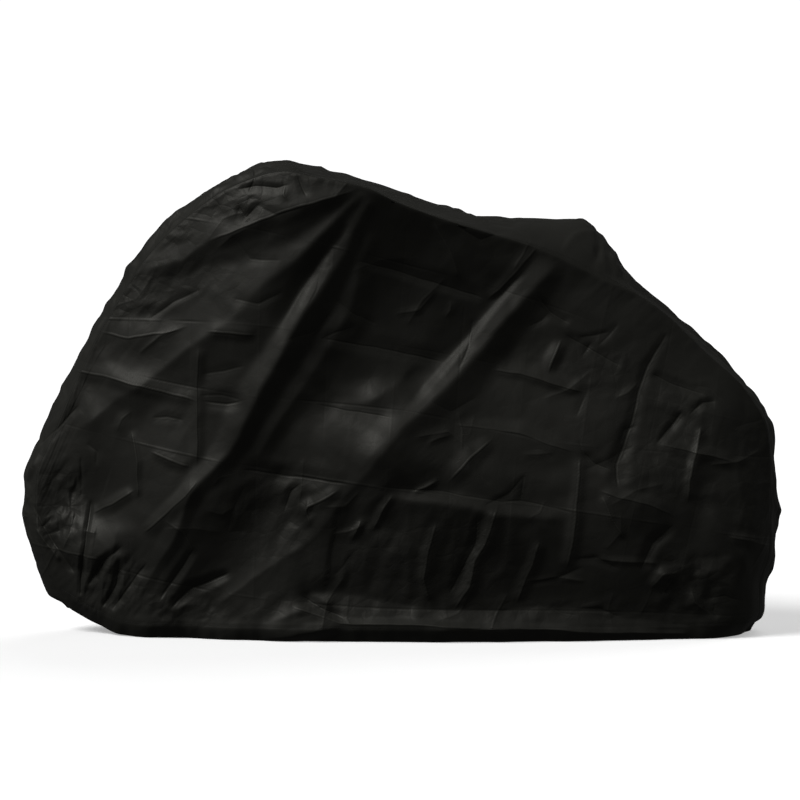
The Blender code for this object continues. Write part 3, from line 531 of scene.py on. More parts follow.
SMALL_HALF = (0.020, 0.075)  # least and most half length of one
SMALL_SIDE, SMALL_TALL, SMALL_ROUND = (6.0, 18.0), (1.4, 3.4), 1.5  # flank, height and crest in mm
SMALL_TURNS, SMALL_SPREAD = (-2.2, -2.3, 0.15, -0.1, 1.6), 0.30  # ways they run, and how far they stray
SMALL_BEND, SMALL_ENDS = 0.25, 0.6  # how far the middle strays, and the share of its size that an end has
PANEL_AREA = ((-0.88, 0.06), (0.88, 1.16))  # low and high x and z of the cloth they are strewn over
STRIP_AREA = ((-0.26, 0.05), (0.26, 3.30))
SMALL_SEEDS, CRUMPLE_SEEDS = (21, 23, 22), (3, 77, 41)  # for the left side, the strip and the right side
SHIFT_SEED, MAIN_SHIFT, REST_SHIFT = 5, 0.010, 0.035  # how far the right side's folds are shifted
POINT_STRAY, SIZE_RANGE, LOWEST_POINT = 0.006, (0.8, 1.2), 0.03  # of a shifted fold
CRUMPLED_FULL = 5  # height in mm from which a patch counts as fully crumpled
FINE_SHARE, FINE_SIZE = 0.25, 0.45  # a patch's second, finer facets against its first
PUSH_FADE = 0.090  # distance from a seam over which pushes fade out
SADDLE_FROM, SADDLE_TO, SADDLE_EASE = 0.15, 0.75, 0.2  # x where the strip lies flatter, over the saddle
CROWN_POWER, SADDLE_POWER = 1.8, 2.6  # of the strip's cross-section over the handlebar and over the saddle
SEAM_DIP, SEAM_REACH = 0.0012, 0.0040  # the groove at a seam, and how far it spreads
PUCKER_HEIGHT, PUCKER_REACH, PUCKER_LENGTH = 0.0010, 0.030, 0.055  # small waves along a seam
GATHER_HEIGHT, GATHER_LENGTH = 0.0030, 0.110  # waves along a hem
HEM_FLARE, FLARE_REACH = 0.005, 0.040  # how far a hem stands out, and from what height on
TUCK_POWER = 1.4  # how the hem turns under: the share of its roll against the share of its reach
CHANNEL_DEPTH, CHANNEL_REACH = 0.0010, 0.004  # the groove that the stitches pull into a hem
SHEET_THICKNESS = 0.0010
ALLOWANCE_DEPTH = 0.005  # the cloth doubled inwards along every edge
STEP = 1e-3  # share of a piece, or metres along the strip, over which slopes are measured
WAVES = ((0.55, 4.1, 1.0), (0.3, 9.7, 2.3), (0.2, 19.3, 5.0))  # of an uneven wave: height, pace, shift
SEED_TURN, SEED_SPREAD = 12.9898, 43758.5453  # turn a seed into a start that looks random
HEIGHT_SEED, PUCKER_SEED, GATHER_SEED = 31, 7, 11  # of the waves in a fold's height, at a seam and at a hem
FACET_WAVES = ((1.9, 1), (0.8, 2), (1.7, 3), (0.9, 5))  # of the lattice's lines: pace, and shift by the seed
COARSE_SEED, FINE_SEED = 10, 60  # of a patch's own facets
LATTICE = 64  # corners of the crumples' lattice each way, after which it repeats
FACET_BEND = 0.35  # how far its lines are bent, against the size of a facet

CLOTH_MAP = "Flat cloth"  # the UV map that says where a point lies on the flat cloth, in metres
FOLD_LAYERS = 4  # sets of creases from the folds, each in its own attribute; two more are from the packing
CREASES = ("creases_1", "creases_2", "creases_3", "creases_4", "level_creases", "upright_creases")
HIGHLIGHT_AND_RUB_REACH, CREST_REACH, CREST_HEIGHT = 0.0022, 0.0050, 0.0009  # of a crease line, in the material: how far its paler colour reaches, which is rubbed coating and a painted highlight on its crest, and how far and how high its fine crest is

# The cloth: patches of noise to the metre, heights in metres, and shares.
THREADS, THREAD_RUN = 1100.0, 0.12  # how much slower threads change along their length than across it
GRAINS, THREAD_HEIGHT = 300.0, 0.00005
CLOUDS, PATCHES, PATCH_EDGE = 5.0, 11.0, (0.40, 0.62)  # the noise at which a patch starts and is full
WRINKLES = ((0.040, 0.05), (0.013, 0.02))  # size of the small wrinkles' cells, and how steeply they rise
BENDS, BEND = 40.0, (0.012, 0.012, 0.0)  # how their lines bend, and how far
WRINKLED_PATCHES, WRINKLED_CRUMPLES, WRINKLED = 0.4, 1.6, 0.15  # how much in patches, crumples and everywhere
HIGHLIT_AND_RUBBED_CREASES, RUBBED_CLOUDS, RUBBED = 0.55, 0.5, 0.25  # how much paler the colour is on creases, as rubbed coating and a painted highlight on their crests, by clouds and everywhere
CLOTH_ROUGHNESS, CLOUD_ROUGHNESS, THREAD_ROUGHNESS, CREASE_SMOOTHNESS = 0.56, 0.25, 0.12, 0.05
CLOTH_GLOSS = 0.25
PLY_SLANT, PLIES = 6000.0, 2.0  # turns of the sewing thread's plies: radians to the metre, and round it
PLY_HEIGHT = 0.00006
FUZZ, FUZZ_ROUGHNESS, PLY_ROUGHNESS, PLY_GLOSS = 900.0, 0.2, 0.6, 0.2

# The stitches, and where their rows run.
STITCH_SIDES = 6
# The rings of a stitch: place along it, radius, and rise over the cloth.
STITCH_RINGS = ((-1.0, 0.45, -0.5), (-0.6, 1.0, 0.15), (0.6, 1.0, 0.15), (1.0, 0.45, -0.5))
STITCH_LINE = 4000  # places along a row of stitches that its length is measured with
STITCH_STEP = 1e-4  # share of the row over which a stitch's direction is measured
PANEL_HEM_ROW = (0.012, 0.988)  # shares of a panel's hem between which it has stitches
STRIP_HEM_ROW = (-0.86, 0.86)  # the same for the strip's hems, as shares across it
SEAM_ROW_GAP = 0.015  # from an end of a seam to its first or last stitch

# The stage.
AIM = Vector((-CARRIED_AT, 0.0024, GROUND + 0.5655))  # what the camera points at
MAIN_LAMP = ((-0.66, -0.40, 0.80), 28.0)  # direction it shines from, degrees across
BACK_LAMP = ((0.60, 0.90, 0.80), 60.0, 0.50)  # the same, and its share of the main lamp's strength
SIDE_LAMP = ((0.95, -0.40, 0.40), 60.0, 0.14)  # the same, from behind the rider
FAR_LAMP = ((0.72, 0.50, 0.70), 28.0, 0.85)  # the same for the far side alone
AMBIENT_GLOW, SEEN_GLOW = 0.058, 1.1  # the surroundings, as they light the cover and as the camera sees them
FLOOR_GLOW = 0.35
WHITE, PAPER_ROUGHNESS = (1.0, 1.0, 1.0, 1.0), 0.9
FLOOR_REACH, FLOOR_GAP = 60.0, 0.0005  # how far the floor reaches, and how far it lies under the cover
SENSOR_WIDTH, LENS = 36.0, 113.9  # mm
CAMERA_DISTANCE, CAMERA_RISE = 6.2, math.radians(2.0)  # how far off it is, and how steeply it looks down


def named(rows, names):
    """The table's columns as arrays, by name."""
    return dict(zip(names, np.array(rows, float).T))


def through(knots, values, at):
    """A smooth curve through values (rows by columns) at the knots, with no overshoot: cubic pieces whose
    slope at each knot is the harmonic mean of the slopes to either side, or level at a high or low point."""
    step = np.diff(knots)[:, None]
    slope = np.diff(values, axis=0) / step
    before, after = slope[:-1], slope[1:]
    agree = before * after > 0
    total = np.where(agree, before + after, 1.0)
    middle = np.where(agree, 2 * before * after / total, 0.0)
    tangent = np.concatenate([slope[:1], middle, slope[-1:]])
    flat = np.ravel(at)
    i = np.clip(np.searchsorted(knots, flat, side="right") - 1, 0, len(knots) - 2)
    h = step[i]
    t = (flat[:, None] - knots[i][:, None]) / h
    curve = (
        (1 + 2 * t) * (1 - t) ** 2 * values[i]
        + t * (1 - t) ** 2 * h * tangent[i]
        + t**2 * (3 - 2 * t) * values[i + 1]
        + t**2 * (t - 1) * h * tangent[i + 1]
    )
    return curve.reshape(np.shape(at) + (values.shape[1],))


def smoothstep(t):
    """0 below 0, 1 above 1 and a smooth rise between."""
    t = np.clip(t, 0.0, 1.0)
    return t * t * (3 - 2 * t)


def crowded(table, lines):
    """Places of the grid lines: even within each stretch of the table, and smooth between stretches."""
    knots, places = np.array(table).T
    return through(knots, places[:, None], np.linspace(0.0, 1.0, lines + 1))[:, 0]


def wander(t, seed):
    """An uneven wave between about -1 and 1: sines of three lengths, whose starts depend on the seed."""
    start = np.sin(seed * SEED_TURN) * SEED_SPREAD
    start = 2 * np.pi * (start - np.floor(start))
    return sum(height * np.sin(pace * t + shift * start) for height, pace, shift in WAVES)


def facets(x, z, size, seed):
    """Crumpled cloth between -1 and 1: a lattice of triangles with random heights at its corners, read off
    linearly inside each triangle, on coordinates that are first bent a little so that no line is straight."""
    bend = FACET_BEND * size
    waves = zip((z, x, x, z), FACET_WAVES)
    waves = [bend * np.sin(at / size * pace + shift * seed) for at, (pace, shift) in waves]
    bent_x, bent_z = x + waves[0] + waves[1], z + waves[2] + waves[3]
    skew = (math.sqrt(3) - 1) / 2
    a, b = bent_x / size, bent_z / size
    a, b = a + (a + b) * skew, b + (a + b) * skew
    i, j = np.floor(a).astype(int), np.floor(b).astype(int)
    a, b = a - i, b - j
    corner = np.random.default_rng(seed).uniform(-1.0, 1.0, (LATTICE, LATTICE))
    here_i, here_j, next_i, next_j = i % LATTICE, j % LATTICE, (i + 1) % LATTICE, (j + 1) % LATTICE
    third = np.where(a > b, corner[next_i, here_j], corner[here_i, next_j])
    larger, smaller = np.maximum(a, b), np.minimum(a, b)
    return (
        (1 - larger) * corner[here_i, here_j] + (larger - smaller) * third + smaller * corner[next_i, next_j]
    )


def crumpled(x, z, patches, seed):
    """The height of the crumples: facets everywhere, and each patch's own facets within a soft round
    window. Also how crumpled the cloth is, from 0 to 1."""
    height = sum(tall * facets(x, z, size, seed + n) for n, (size, tall) in enumerate(BASE_FACETS))
    inside = 0 * height
    patch = named(patches, CRUMPLE_COLUMNS)
    for n in range(len(patches)):
        away_x, away_z = x - patch["x"][n], z - patch["z"][n]
        lean = math.radians(patch["lean"][n])
        across = away_x * math.cos(lean) - away_z * math.sin(lean)
        along = (away_x * math.sin(lean) + away_z * math.cos(lean)) / patch["stretch"][n]
        window = np.exp(-((away_x / patch["reach_x"][n]) ** 4) - (away_z / patch["reach_z"][n]) ** 4)
        size = patch["size"][n] / MM
        coarse = facets(across, along, size, seed + COARSE_SEED + n)
        fine = facets(across, along, FINE_SIZE * size, seed + FINE_SEED + n)
        height = height + window * patch["height"][n] / MM * (coarse + FINE_SHARE * fine)
        inside = np.maximum(inside, window * np.minimum(patch["height"][n] / CRUMPLED_FULL, 1.0))
    return height, inside


def pushed_out(x, z):
    """How far the parts inside push the cloth out at x, z."""
    push = named(PUSHES, PUSH_COLUMNS)
    away_x = (x[..., None] - push["x"]) / push["reach_x"]
    away_z = (z[..., None] - push["z"]) / push["reach_z"]
    return (push["push"] * np.exp(-(away_x**2) - away_z**2)).sum(axis=-1)


def tent(away, left, right, rounding):
    """A fold's cross-section: 1 on the fold, falling in a straight line to 0 at the width of the left or
    right flank, with a rounded crest and a rounded foot."""
    width = np.where(away > 0, left, right)
    t = (np.hypot(away, rounding) - rounding) / width
    foot = (1 + FOOT - np.clip(t, 1 - FOOT, 1 + FOOT)) ** 2 / (4 * FOOT)
    return np.where(t < 1 - FOOT, 1 - t, foot)


def along_path(x, z, path):
    """How far along the path each point's nearest place on it is, and how far the point is from it,
    positive to the left."""
    step_x, step_z = np.diff(path["x"])[:, None], np.diff(path["z"])[:, None]
    step = np.hypot(step_x, step_z)
    from_x, from_z = x - path["x"][:-1, None], z - path["z"][:-1, None]
    share = np.clip((from_x * step_x + from_z * step_z) / step**2, 0.0, 1.0)
    distance = np.hypot(from_x - share * step_x, from_z - share * step_z)
    left = np.sign(from_z * step_x - from_x * step_z)
    start = np.concatenate([[0.0], np.cumsum(step[:, 0])])
    nearest = distance.argmin(axis=0)
    pick = nearest, np.arange(len(x))
    return start, start[nearest] + share[pick] * step[nearest, 0], (distance * left)[pick]


def fold_at(x, z, path, rounding, seed):
    """The height of one fold at the points x, z, their distance from it and how sharp it is there. The line
    of the fold and its height both wander a little."""
    knots, along, away = along_path(x, z, path)
    left, right, tall = (np.interp(along, knots, path[name]) / MM for name in ("left", "right", "height"))
    away = away - (WANDER_LEAST + WANDER_SHARE * np.minimum(left, right)) * wander(along / LINE_WAVE, seed)
    fade = FADE_WIDTHS * (path["left"] + path["right"])[[0, -1]] / MM
    first, last = np.minimum(fade, LONGEST_FADE * knots[-1])
    ends = smoothstep(along / first) * smoothstep((knots[-1] - along) / last)
    tall = tall * ends * (1 + HEIGHT_WANDER * wander(along / HEIGHT_WAVE, seed + HEIGHT_SEED))
    return tall * tent(away, left, right, rounding), away, np.clip(tall * MM / CREASE_FULL, -1.0, 1.0)


def folded_out(x, z, folds):
    """How far the folds lift the cloth at x, z, and its creases: some layers of three numbers a point,
    which are its distance from the sharp fold near it, that fold's sharpness there, negative in a valley,
    and 0. Folds that meet are kept in different layers."""
    shape, x, z = np.shape(x), np.ravel(x), np.ravel(z)
    height, creases = np.zeros(x.size), np.zeros((FOLD_LAYERS, x.size, 3))
    taken = np.zeros((FOLD_LAYERS, x.size), bool)
    for seed, (rounding, *rows) in enumerate(folds):
        path = named(rows, PATH_COLUMNS)
        reach = (1 + FOOT) * max(path["left"].max(), path["right"].max()) / MM + 2 * CREASE_REACH
        low_x, high_x, low_z, high_z = path["x"].min(), path["x"].max(), path["z"].min(), path["z"].max()
        near = np.flatnonzero(
            (x > low_x - reach) & (x < high_x + reach) & (z > low_z - reach) & (z < high_z + reach)
        )
        if not near.size:
            continue
        tall, away, sharpness = fold_at(x[near], z[near], path, max(rounding / MM, SHARPEST), seed + 1)
        height[near] += tall
        if rounding <= SHARP_UP_TO:
            beside = np.abs(away) < 2 * CREASE_REACH
            near, away = near[beside], away[beside]
            sharpness = sharpness[beside] * (np.abs(away) < CREASE_REACH)
            free = [layer for layer in range(FOLD_LAYERS) if not taken[layer, near].any()]
            layer = free[0] if free else FOLD_LAYERS - 1
            taken[layer, near] = True
            creases[layer, near] = np.stack([away, sharpness, 0 * away], axis=-1)
    return height.reshape(shape), creases.reshape((FOLD_LAYERS,) + shape + (3,))


def pack_creases(away, bend, most, wave):
    """A layer of creases beside one set of lines: how sharp they are follows how much the cloth bends there,
    and comes and goes with the wave."""
    sharpness = most * np.clip(bend * np.clip(0.5 + 0.5 * wave, 0.0, 1.0), -1.0, 1.0)
    return np.stack([away, sharpness * (np.abs(away) < CREASE_REACH), 0 * away], axis=-1)


def packed(x, z):
    """The rectangles that the cover was packed into: their corners have the heights of the table, in mm,
    and each rectangle is read off between its four corners. Returns the height, and two layers of creases,
    along the level lines and along the upright ones: sharp where the slope changes most."""
    lean = np.interp(x, PACKED_X, PACKED_LEAN)
    column = np.interp(x - lean * (z - PACKED_AT), PACKED_X, np.arange(len(PACKED_X)))
    levels = through(np.array(PACKED_KNOTS), np.array(PACKED_LEVELS, float).T, x)
    heights = np.array(PACKED_HEIGHTS, float) / MM
    last = levels.shape[-1] - 1
    above = np.clip((levels > z[..., None]).sum(axis=-1) - 1, 0, last - 1)[..., None]
    upper = np.take_along_axis(levels, above, axis=-1)[..., 0]
    lower = np.take_along_axis(levels, above + 1, axis=-1)[..., 0]
    row = above[..., 0] + np.clip((upper - z) / (upper - lower), 0.0, 1.0)
    i, j = np.minimum(row.astype(int), last - 1), np.minimum(column.astype(int), len(PACKED_X) - 2)
    s, t = row - i, column - j
    height = (1 - s) * ((1 - t) * heights[i, j] + t * heights[i, j + 1])
    height = height + s * ((1 - t) * heights[i + 1, j] + t * heights[i + 1, j + 1])
    level_bend, upright_bend = (
        (2 * heights - np.roll(heights, 1, axis) - np.roll(heights, -1, axis)) * MM / CREASE_FULL
        for axis in (0, 1)
    )
    near = np.clip(i + (s > 0.5), 1, last - 1)
    bend = (1 - t) * level_bend[near, j] + t * level_bend[near, j + 1]
    away = z - np.take_along_axis(levels, near[..., None], axis=-1)[..., 0]
    level = pack_creases(away, bend, PACK_LINES[0], wander(x / PACK_WAVE, PACK_SEEDS[0]))
    near = np.clip(j + (t > 0.5), 1, len(PACKED_X) - 2)
    bend = (1 - s) * upright_bend[i, near] + s * upright_bend[i + 1, near]
    away = x - lean * (z - PACKED_AT) - np.array(PACKED_X)[near]
    upright = pack_creases(away, bend, PACK_LINES[1], wander(z / PACK_WAVE, PACK_SEEDS[1]))
    return height, np.stack([level, upright])


def other_side(folds):
    """The folds of the other panel. The first ones hang from the handlebar and the saddle and are kept,
    each point shifted a little. Of the rest some are left out, and the others are shifted further, in
    another size."""
    chance = np.random.default_rng(SHIFT_SEED)
    rows = []
    for n, (rounding, *path) in enumerate(folds):
        main = n < MAIN_FOLDS
        if not main and chance.random() < LEFT_OUT:
            continue
        shift = chance.uniform(-1, 1, 2) * (MAIN_SHIFT if main else REST_SHIFT)
        stray = chance.uniform(-1, 1, (len(path), 2)) * POINT_STRAY
        sizes = chance.uniform(*SIZE_RANGE, 3)
        place = np.array(path)[:, :2] + shift + stray
        place[:, 1] = np.maximum(place[:, 1], LOWEST_POINT)
        rest = np.array(path)[:, 2:] * sizes
        rows.append((rounding, *np.concatenate([place, rest], axis=1)))
    return tuple(rows)


def seam_knots():
    """The strip's stations as lengths along its crown, and its table as rows of numbers."""
    station = np.array(STRIP, float)
    step = np.hypot(np.diff(station[:, 0]), np.diff(station[:, 1]))
    return np.concatenate([[0.0], np.cumsum(step)]), station


def strip_lines(along, side):
    """Points of the crown and of the seam on one side, -1 left and 1 right, at lengths along the strip. The
    right seam swings a little against the left one."""
    knots, station = seam_knots()
    crown_x, crown_z, seam_x, seam_z, half_width = np.moveaxis(through(knots, station, along), -1, 0)
    if side > 0:
        share = along / knots[-1]
        swing = SWING * np.sin(np.pi * share) * np.sin(SWINGS * np.pi * share)
        seam_z = seam_z + swing
        half_width = half_width - SWING_IN * swing
    crown = np.stack([crown_x, 0 * crown_x, crown_z], axis=-1)
    seam = np.stack([seam_x, side * half_width, seam_z], axis=-1)
    return crown, seam


def top_share(u):
    """How far along a side panel's top edge the cloth at u hangs from."""
    hem = named(HEM, HEM_COLUMNS)
    return through(hem["column"], hem["top"][:, None], u)[..., 0]


def blended(u, v, side):
    """A side panel before it folds, at u along the cover and v from hem to seam: a patch blended from its
    front, top, rear and hem edges."""
    knots, _ = seam_knots()
    front_end, rear_start, end = knots[FRONT_CORNER], knots[REAR_CORNER], knots[-1]
    hem = named(HEM, HEM_COLUMNS)
    front = strip_lines(front_end * v, side)[1]
    top = strip_lines(front_end + (rear_start - front_end) * top_share(u), side)[1]
    rear = strip_lines(end - (end - rear_start) * v, side)[1]
    low = np.stack([hem["x"], side * hem["half_width"], hem["z"]], axis=1)
    bottom = through(hem["column"], low, u)
    corner = strip_lines(knots[[0, FRONT_CORNER, REAR_CORNER, -1]], side)[1]
    u, v = u[..., None], v[..., None]
    corners = (
        (1 - u) * (1 - v) * corner[0] + (1 - u) * v * corner[1] + u * v * corner[2] + u * (1 - v) * corner[3]
    )
    return (1 - v) * bottom + v * top + (1 - u) * front + u * rear - corners


def square_to(edge, inward):
    """The length of the part of inward that is square to the edge's direction."""
    along = edge / np.linalg.norm(edge, axis=-1, keepdims=True)
    return np.linalg.norm(inward - (inward * along).sum(axis=-1, keepdims=True) * along, axis=-1)


def edge_metric(u, v, side):
    """Metres of cloth per unit of u or v, square to each edge of a side panel: hem, top, front and rear."""
    no_u, no_v = 0 * u, 0 * v
    metric = {}
    for name, at, inward in (("hem", no_u, STEP), ("top", no_u + 1, -STEP)):
        edge = blended(np.minimum(u + STEP, 1.0), at, side) - blended(np.maximum(u - STEP, 0.0), at, side)
        metric[name] = square_to(edge, blended(u, at + inward, side) - blended(u, at, side)) / STEP
    for name, at, inward in (("front", no_v, STEP), ("rear", no_v + 1, -STEP)):
        edge = blended(at, np.minimum(v + STEP, 1.0), side) - blended(at, np.maximum(v - STEP, 0.0), side)
        metric[name] = square_to(edge, blended(at + inward, v, side) - blended(at, v, side)) / STEP
    return metric


def rolled_in(from_hem, reach, radius):
    """How far the lowest cloth turns in under the cover: nothing at the reach and the radius at the edge,
    rising as a power of the share between them."""
    return -radius * np.clip(1 - from_hem / reach, 0.0, 1.0) ** TUCK_POWER


def seamed(along, from_seam):
    """The lift beside a seam: a groove, and small waves across it that die away from it."""
    pucker = wander(along / PUCKER_LENGTH, PUCKER_SEED) * PUCKER_HEIGHT
    pucker = pucker * (np.exp(-from_seam / PUCKER_REACH) - np.exp(-from_seam / SEAM_REACH))
    return pucker - SEAM_DIP * np.exp(-((from_seam / SEAM_REACH) ** 2))


def hemmed(along, from_hem, sizes):
    """The lift beside a hem: a flare, small waves, the groove of its stitches and the roll inwards."""
    flare = HEM_FLARE + GATHER_HEIGHT * wander(along / GATHER_LENGTH, GATHER_SEED)
    flare = flare * np.exp(-from_hem / FLARE_REACH)
    groove = CHANNEL_DEPTH * np.exp(-(((from_hem - sizes.hem_stitch_inset) / CHANNEL_REACH) ** 2))
    return flare - groove + rolled_in(from_hem, sizes.hem_stitch_inset, sizes.hem_roll)


def small_creases(area, seed):
    """Short creases strewn over an area, each bent a little in its middle, as rows of a table of folds."""
    random = np.random.default_rng(seed)
    creases = []
    for middle in random.uniform(*area, (SMALL_CREASES, 2)):
        turn = random.choice(SMALL_TURNS) + random.normal(0, SMALL_SPREAD)
        reach = random.uniform(*SMALL_HALF) * np.array([np.cos(turn), np.sin(turn)])
        bend = random.normal(0, SMALL_BEND) * reach[::-1] * [-1, 1]
        left, right = random.uniform(*SMALL_SIDE, 2)
        tall = random.choice((-1, 1)) * random.uniform(*SMALL_TALL)
        line = ((middle - reach, SMALL_ENDS), (middle + bend, 1.0), (middle + reach, SMALL_ENDS))
        path = ((*place, left * part, right * part, tall * part) for place, part in line)
        creases.append((SMALL_ROUND, *path))
    return tuple(creases)


def draped(x, z, side, sizes):
    """How far folds, packing and crumples lift the cloth of one side at x, z, and its creases. side is -1
    for the left side and 1 for the right."""
    folds = LEFT_FOLDS if side < 0 else other_side(LEFT_FOLDS)
    patches = LEFT_CRUMPLES if side < 0 else RIGHT_CRUMPLES
    fold, creases = folded_out(x, z, folds + small_creases(PANEL_AREA, SMALL_SEEDS[side + 1]))
    patch, more_creases = packed(x, z)
    creases = np.concatenate([creases, more_creases])
    crumple, creases[0, ..., 2] = crumpled(x, z, patches, CRUMPLE_SEEDS[side + 1])
    return fold * sizes.fold_height + patch + crumple * sizes.crumple_height, creases


def side_panel(u, v, side, sizes):
    """A side panel at u along the cover and v from hem to seam: the blended patch's points, how far
    outwards it is lifted there, and its creases. Pushes fade out at the seams."""
    base = blended(u, v, side)
    metric = edge_metric(u, v, side)
    gaps = (1 - v) * metric["top"], u * metric["front"], (1 - u) * metric["rear"]
    knots, _ = seam_knots()
    front_end, rear_start, end = knots[FRONT_CORNER], knots[REAR_CORNER], knots[-1]
    top_along = front_end + (rear_start - front_end) * top_share(u)
    alongs = top_along + 0 * v, front_end * v + 0 * u, end - (end - rear_start) * v + 0 * u
    gaps, alongs = (np.stack(np.broadcast_arrays(*each)) for each in (gaps, alongs))
    nearest = gaps.argmin(axis=0)[None]
    from_seam = np.take_along_axis(gaps, nearest, axis=0)[0]
    along = np.take_along_axis(alongs, nearest, axis=0)[0]
    from_hem = v * metric["hem"]
    x, z = base[..., 0], base[..., 2]
    folds, creases = draped(x, z, side, sizes)
    lift = folds * seam_share(from_seam) + pushed_out(x, z) * smoothstep(from_seam / PUSH_FADE)
    lift = lift + seamed(along, from_seam)
    lift = lift + hemmed(x, from_hem, sizes) * smoothstep(from_seam / HEM_FADE)
    return base, lift, creases


def seam_share(from_seam):
    """How much of the folds is left at this distance from a seam: a share at the seam, all further in."""
    return AT_SEAM + (1 - AT_SEAM) * smoothstep(from_seam / FOLD_FADE)


def strip_base(along, across):
    """The strip before it crumples, at lengths along it and shares across it, -1 at the left seam and 1 at
    the right: a section rises from the seams to the crown as 1 - |across| to a power."""
    crown, left = strip_lines(along, -1)
    _, right = strip_lines(along, 1)
    seam = np.where(across[..., None] < 0, left, right)
    behind = smoothstep((crown[..., 0] - SADDLE_FROM) / SADDLE_EASE)
    before = smoothstep((SADDLE_TO - crown[..., 0]) / SADDLE_EASE)
    power = CROWN_POWER + (SADDLE_POWER - CROWN_POWER) * behind * before
    rise = (1 - np.minimum(np.abs(across), 1.0) ** power)[..., None]
    point = seam * [1, 0, 1] + (crown - seam * [1, 0, 1]) * rise
    point[..., 1] = across * np.abs(seam[..., 1])
    return point


def top_strip(along, across, sizes):
    """The strip's points before it folds, how far outwards it is lifted, and its creases. Towards a seam the
    folds of the panel beside it carry on over it, sideways."""
    base = strip_base(along, across)
    end = seam_knots()[0][-1]
    half = np.abs(strip_lines(along, -1)[1][..., 1])
    x, z = across * half, along + 0 * across
    from_seam = (1 - np.abs(across)) * half * STRIP_SLANT
    from_hem = np.minimum(z, end - z)
    fold, creases = folded_out(x, z, STRIP_FOLDS + small_creases(STRIP_AREA, SMALL_SEEDS[1]))
    creases = np.concatenate([creases, 0 * creases[:2]])
    crumple, creases[0, ..., 2] = crumpled(x, z, STRIP_CRUMPLES, CRUMPLE_SEEDS[1])
    lift = (fold * sizes.fold_height + crumple * sizes.crumple_height) * smoothstep(from_seam / STRIP_FADE)
    lift = lift + hemmed(x, from_hem, sizes) * smoothstep(from_seam / HEM_FADE)
    carried = AT_SEAM * smoothstep(np.abs(across))
    for side in (-1, 1):
        beside = side * across > 0
        folds, side_creases = draped(base[..., 0], base[..., 2], side, sizes)
        base[..., 1] += np.where(beside, side * (carried * folds + seamed(z, from_seam)), 0.0)
        creases = np.where((beside & (np.abs(across) > CARRIED_FROM))[..., None], side_creases, creases)
    return base, lift, creases


def outward(surface, a, b):
    """Unit normals of surface(a, b): the cross product of its slopes along a and along b."""
    along = surface(a + STEP, b) - surface(a - STEP, b)
    across = surface(a, b + STEP) - surface(a, b - STEP)
    normal = np.cross(along, across)
    return normal / np.linalg.norm(normal, axis=-1, keepdims=True)


def lowest_near(lift):
    """At every second grid line, the lowest lift of a point and its eight neighbours."""
    padded = np.pad(lift, 1, mode="edge")
    rows, columns = lift.shape
    around = [padded[i : i + rows, j : j + columns] for i in range(3) for j in range(3)]
    return np.minimum.reduce(around)[::2, ::2]


def border(number):
    """The vertex numbers round the edge of a grid, once round and back to the first."""
    return np.concatenate([number[:, 0], number[-1, 1:], number[-2::-1, -1], number[0, -2::-1]])


def cells(number):
    """The four vertex numbers of each cell of a grid."""
    corners = number[:-1, :-1], number[1:, :-1], number[1:, 1:], number[:-1, 1:]
    return np.stack(corners, axis=-1).reshape(-1, 4)


def sheet_of_cloth(name, base, normal, lift, creases, flat, turned):
    """A closed sheet: its outer face is the base lifted along the normal, its inner face has every second
    line and lies under the lowest cloth near it, deeper along the edges, and a rim joins the two. flat is
    where each point lies on the flat cloth. turned is -1 where the grid runs the other way round."""
    normal = np.broadcast_to(normal, base.shape)
    outer = base + normal * lift[..., None]
    depth = np.full(lift[::2, ::2].shape, SHEET_THICKNESS + ALLOWANCE_DEPTH)
    depth[1:-1, 1:-1] = SHEET_THICKNESS
    inner = base[::2, ::2] + normal[::2, ::2] * (lowest_near(lift) - depth)[..., None]
    fine = np.arange(lift.size).reshape(lift.shape)
    coarse = lift.size + np.arange(depth.size).reshape(depth.shape)
    around, inside = border(fine), border(coarse)
    quads = np.concatenate([cells(fine), cells(coarse)[:, ::-1]])
    first, middle, last = around[:-1:2], around[1::2], around[2::2]
    rim = [(middle, first, inside[:-1]), (middle, inside[:-1], inside[1:]), (last, middle, inside[1:])]
    triangles = np.concatenate([np.stack(corner, axis=-1) for corner in rim])
    points = np.concatenate([outer.reshape(-1, 3), inner.reshape(-1, 3)])
    places = np.concatenate([flat.reshape(-1, 2), flat[::2, ::2].reshape(-1, 2)])
    unmarked = np.zeros((len(CREASES), depth.size, 3))
    creases = np.concatenate([creases.reshape(len(CREASES), -1, 3), unmarked], axis=1)
    return closed_mesh(name, points, (quads[:, ::turned], triangles[:, ::turned]), places, creases)


def closed_mesh(name, points, faces, places, creases=()):
    """A smooth mesh object of points and faces, each array of faces of one number of corners, with the
    points' places on the flat cloth as its UV map and the creases as attributes. Points are measured from
    the middle of the cover and from the ground."""
    mesh = bpy.data.meshes.new(name)
    corners = np.concatenate([group.ravel() for group in faces])
    sizes = np.concatenate([np.full(len(group), group.shape[1]) for group in faces])
    mesh.vertices.add(len(points))
    mesh.vertices.foreach_set("co", (points + [-CARRIED_AT, 0.0, GROUND]).ravel())
    mesh.loops.add(len(corners))
    mesh.loops.foreach_set("vertex_index", corners)
    mesh.polygons.add(len(sizes))
    mesh.polygons.foreach_set("loop_start", np.cumsum(sizes) - sizes)
    mesh.uv_layers.new(name=CLOTH_MAP).data.foreach_set("uv", places[corners].ravel())
    for attribute, crease in zip(CREASES, creases):
        mesh.attributes.new(attribute, "FLOAT_VECTOR", "POINT").data.foreach_set("vector", crease.ravel())
    mesh.polygons.foreach_set("use_smooth", np.ones(len(sizes), bool))
    mesh.update(calc_edges=True)
    if mesh.validate():
        raise RuntimeError(f"{name} has faces that are not valid")
    piece = bpy.data.objects.new(name, mesh)
    bpy.context.scene.collection.objects.link(piece)
    return piece


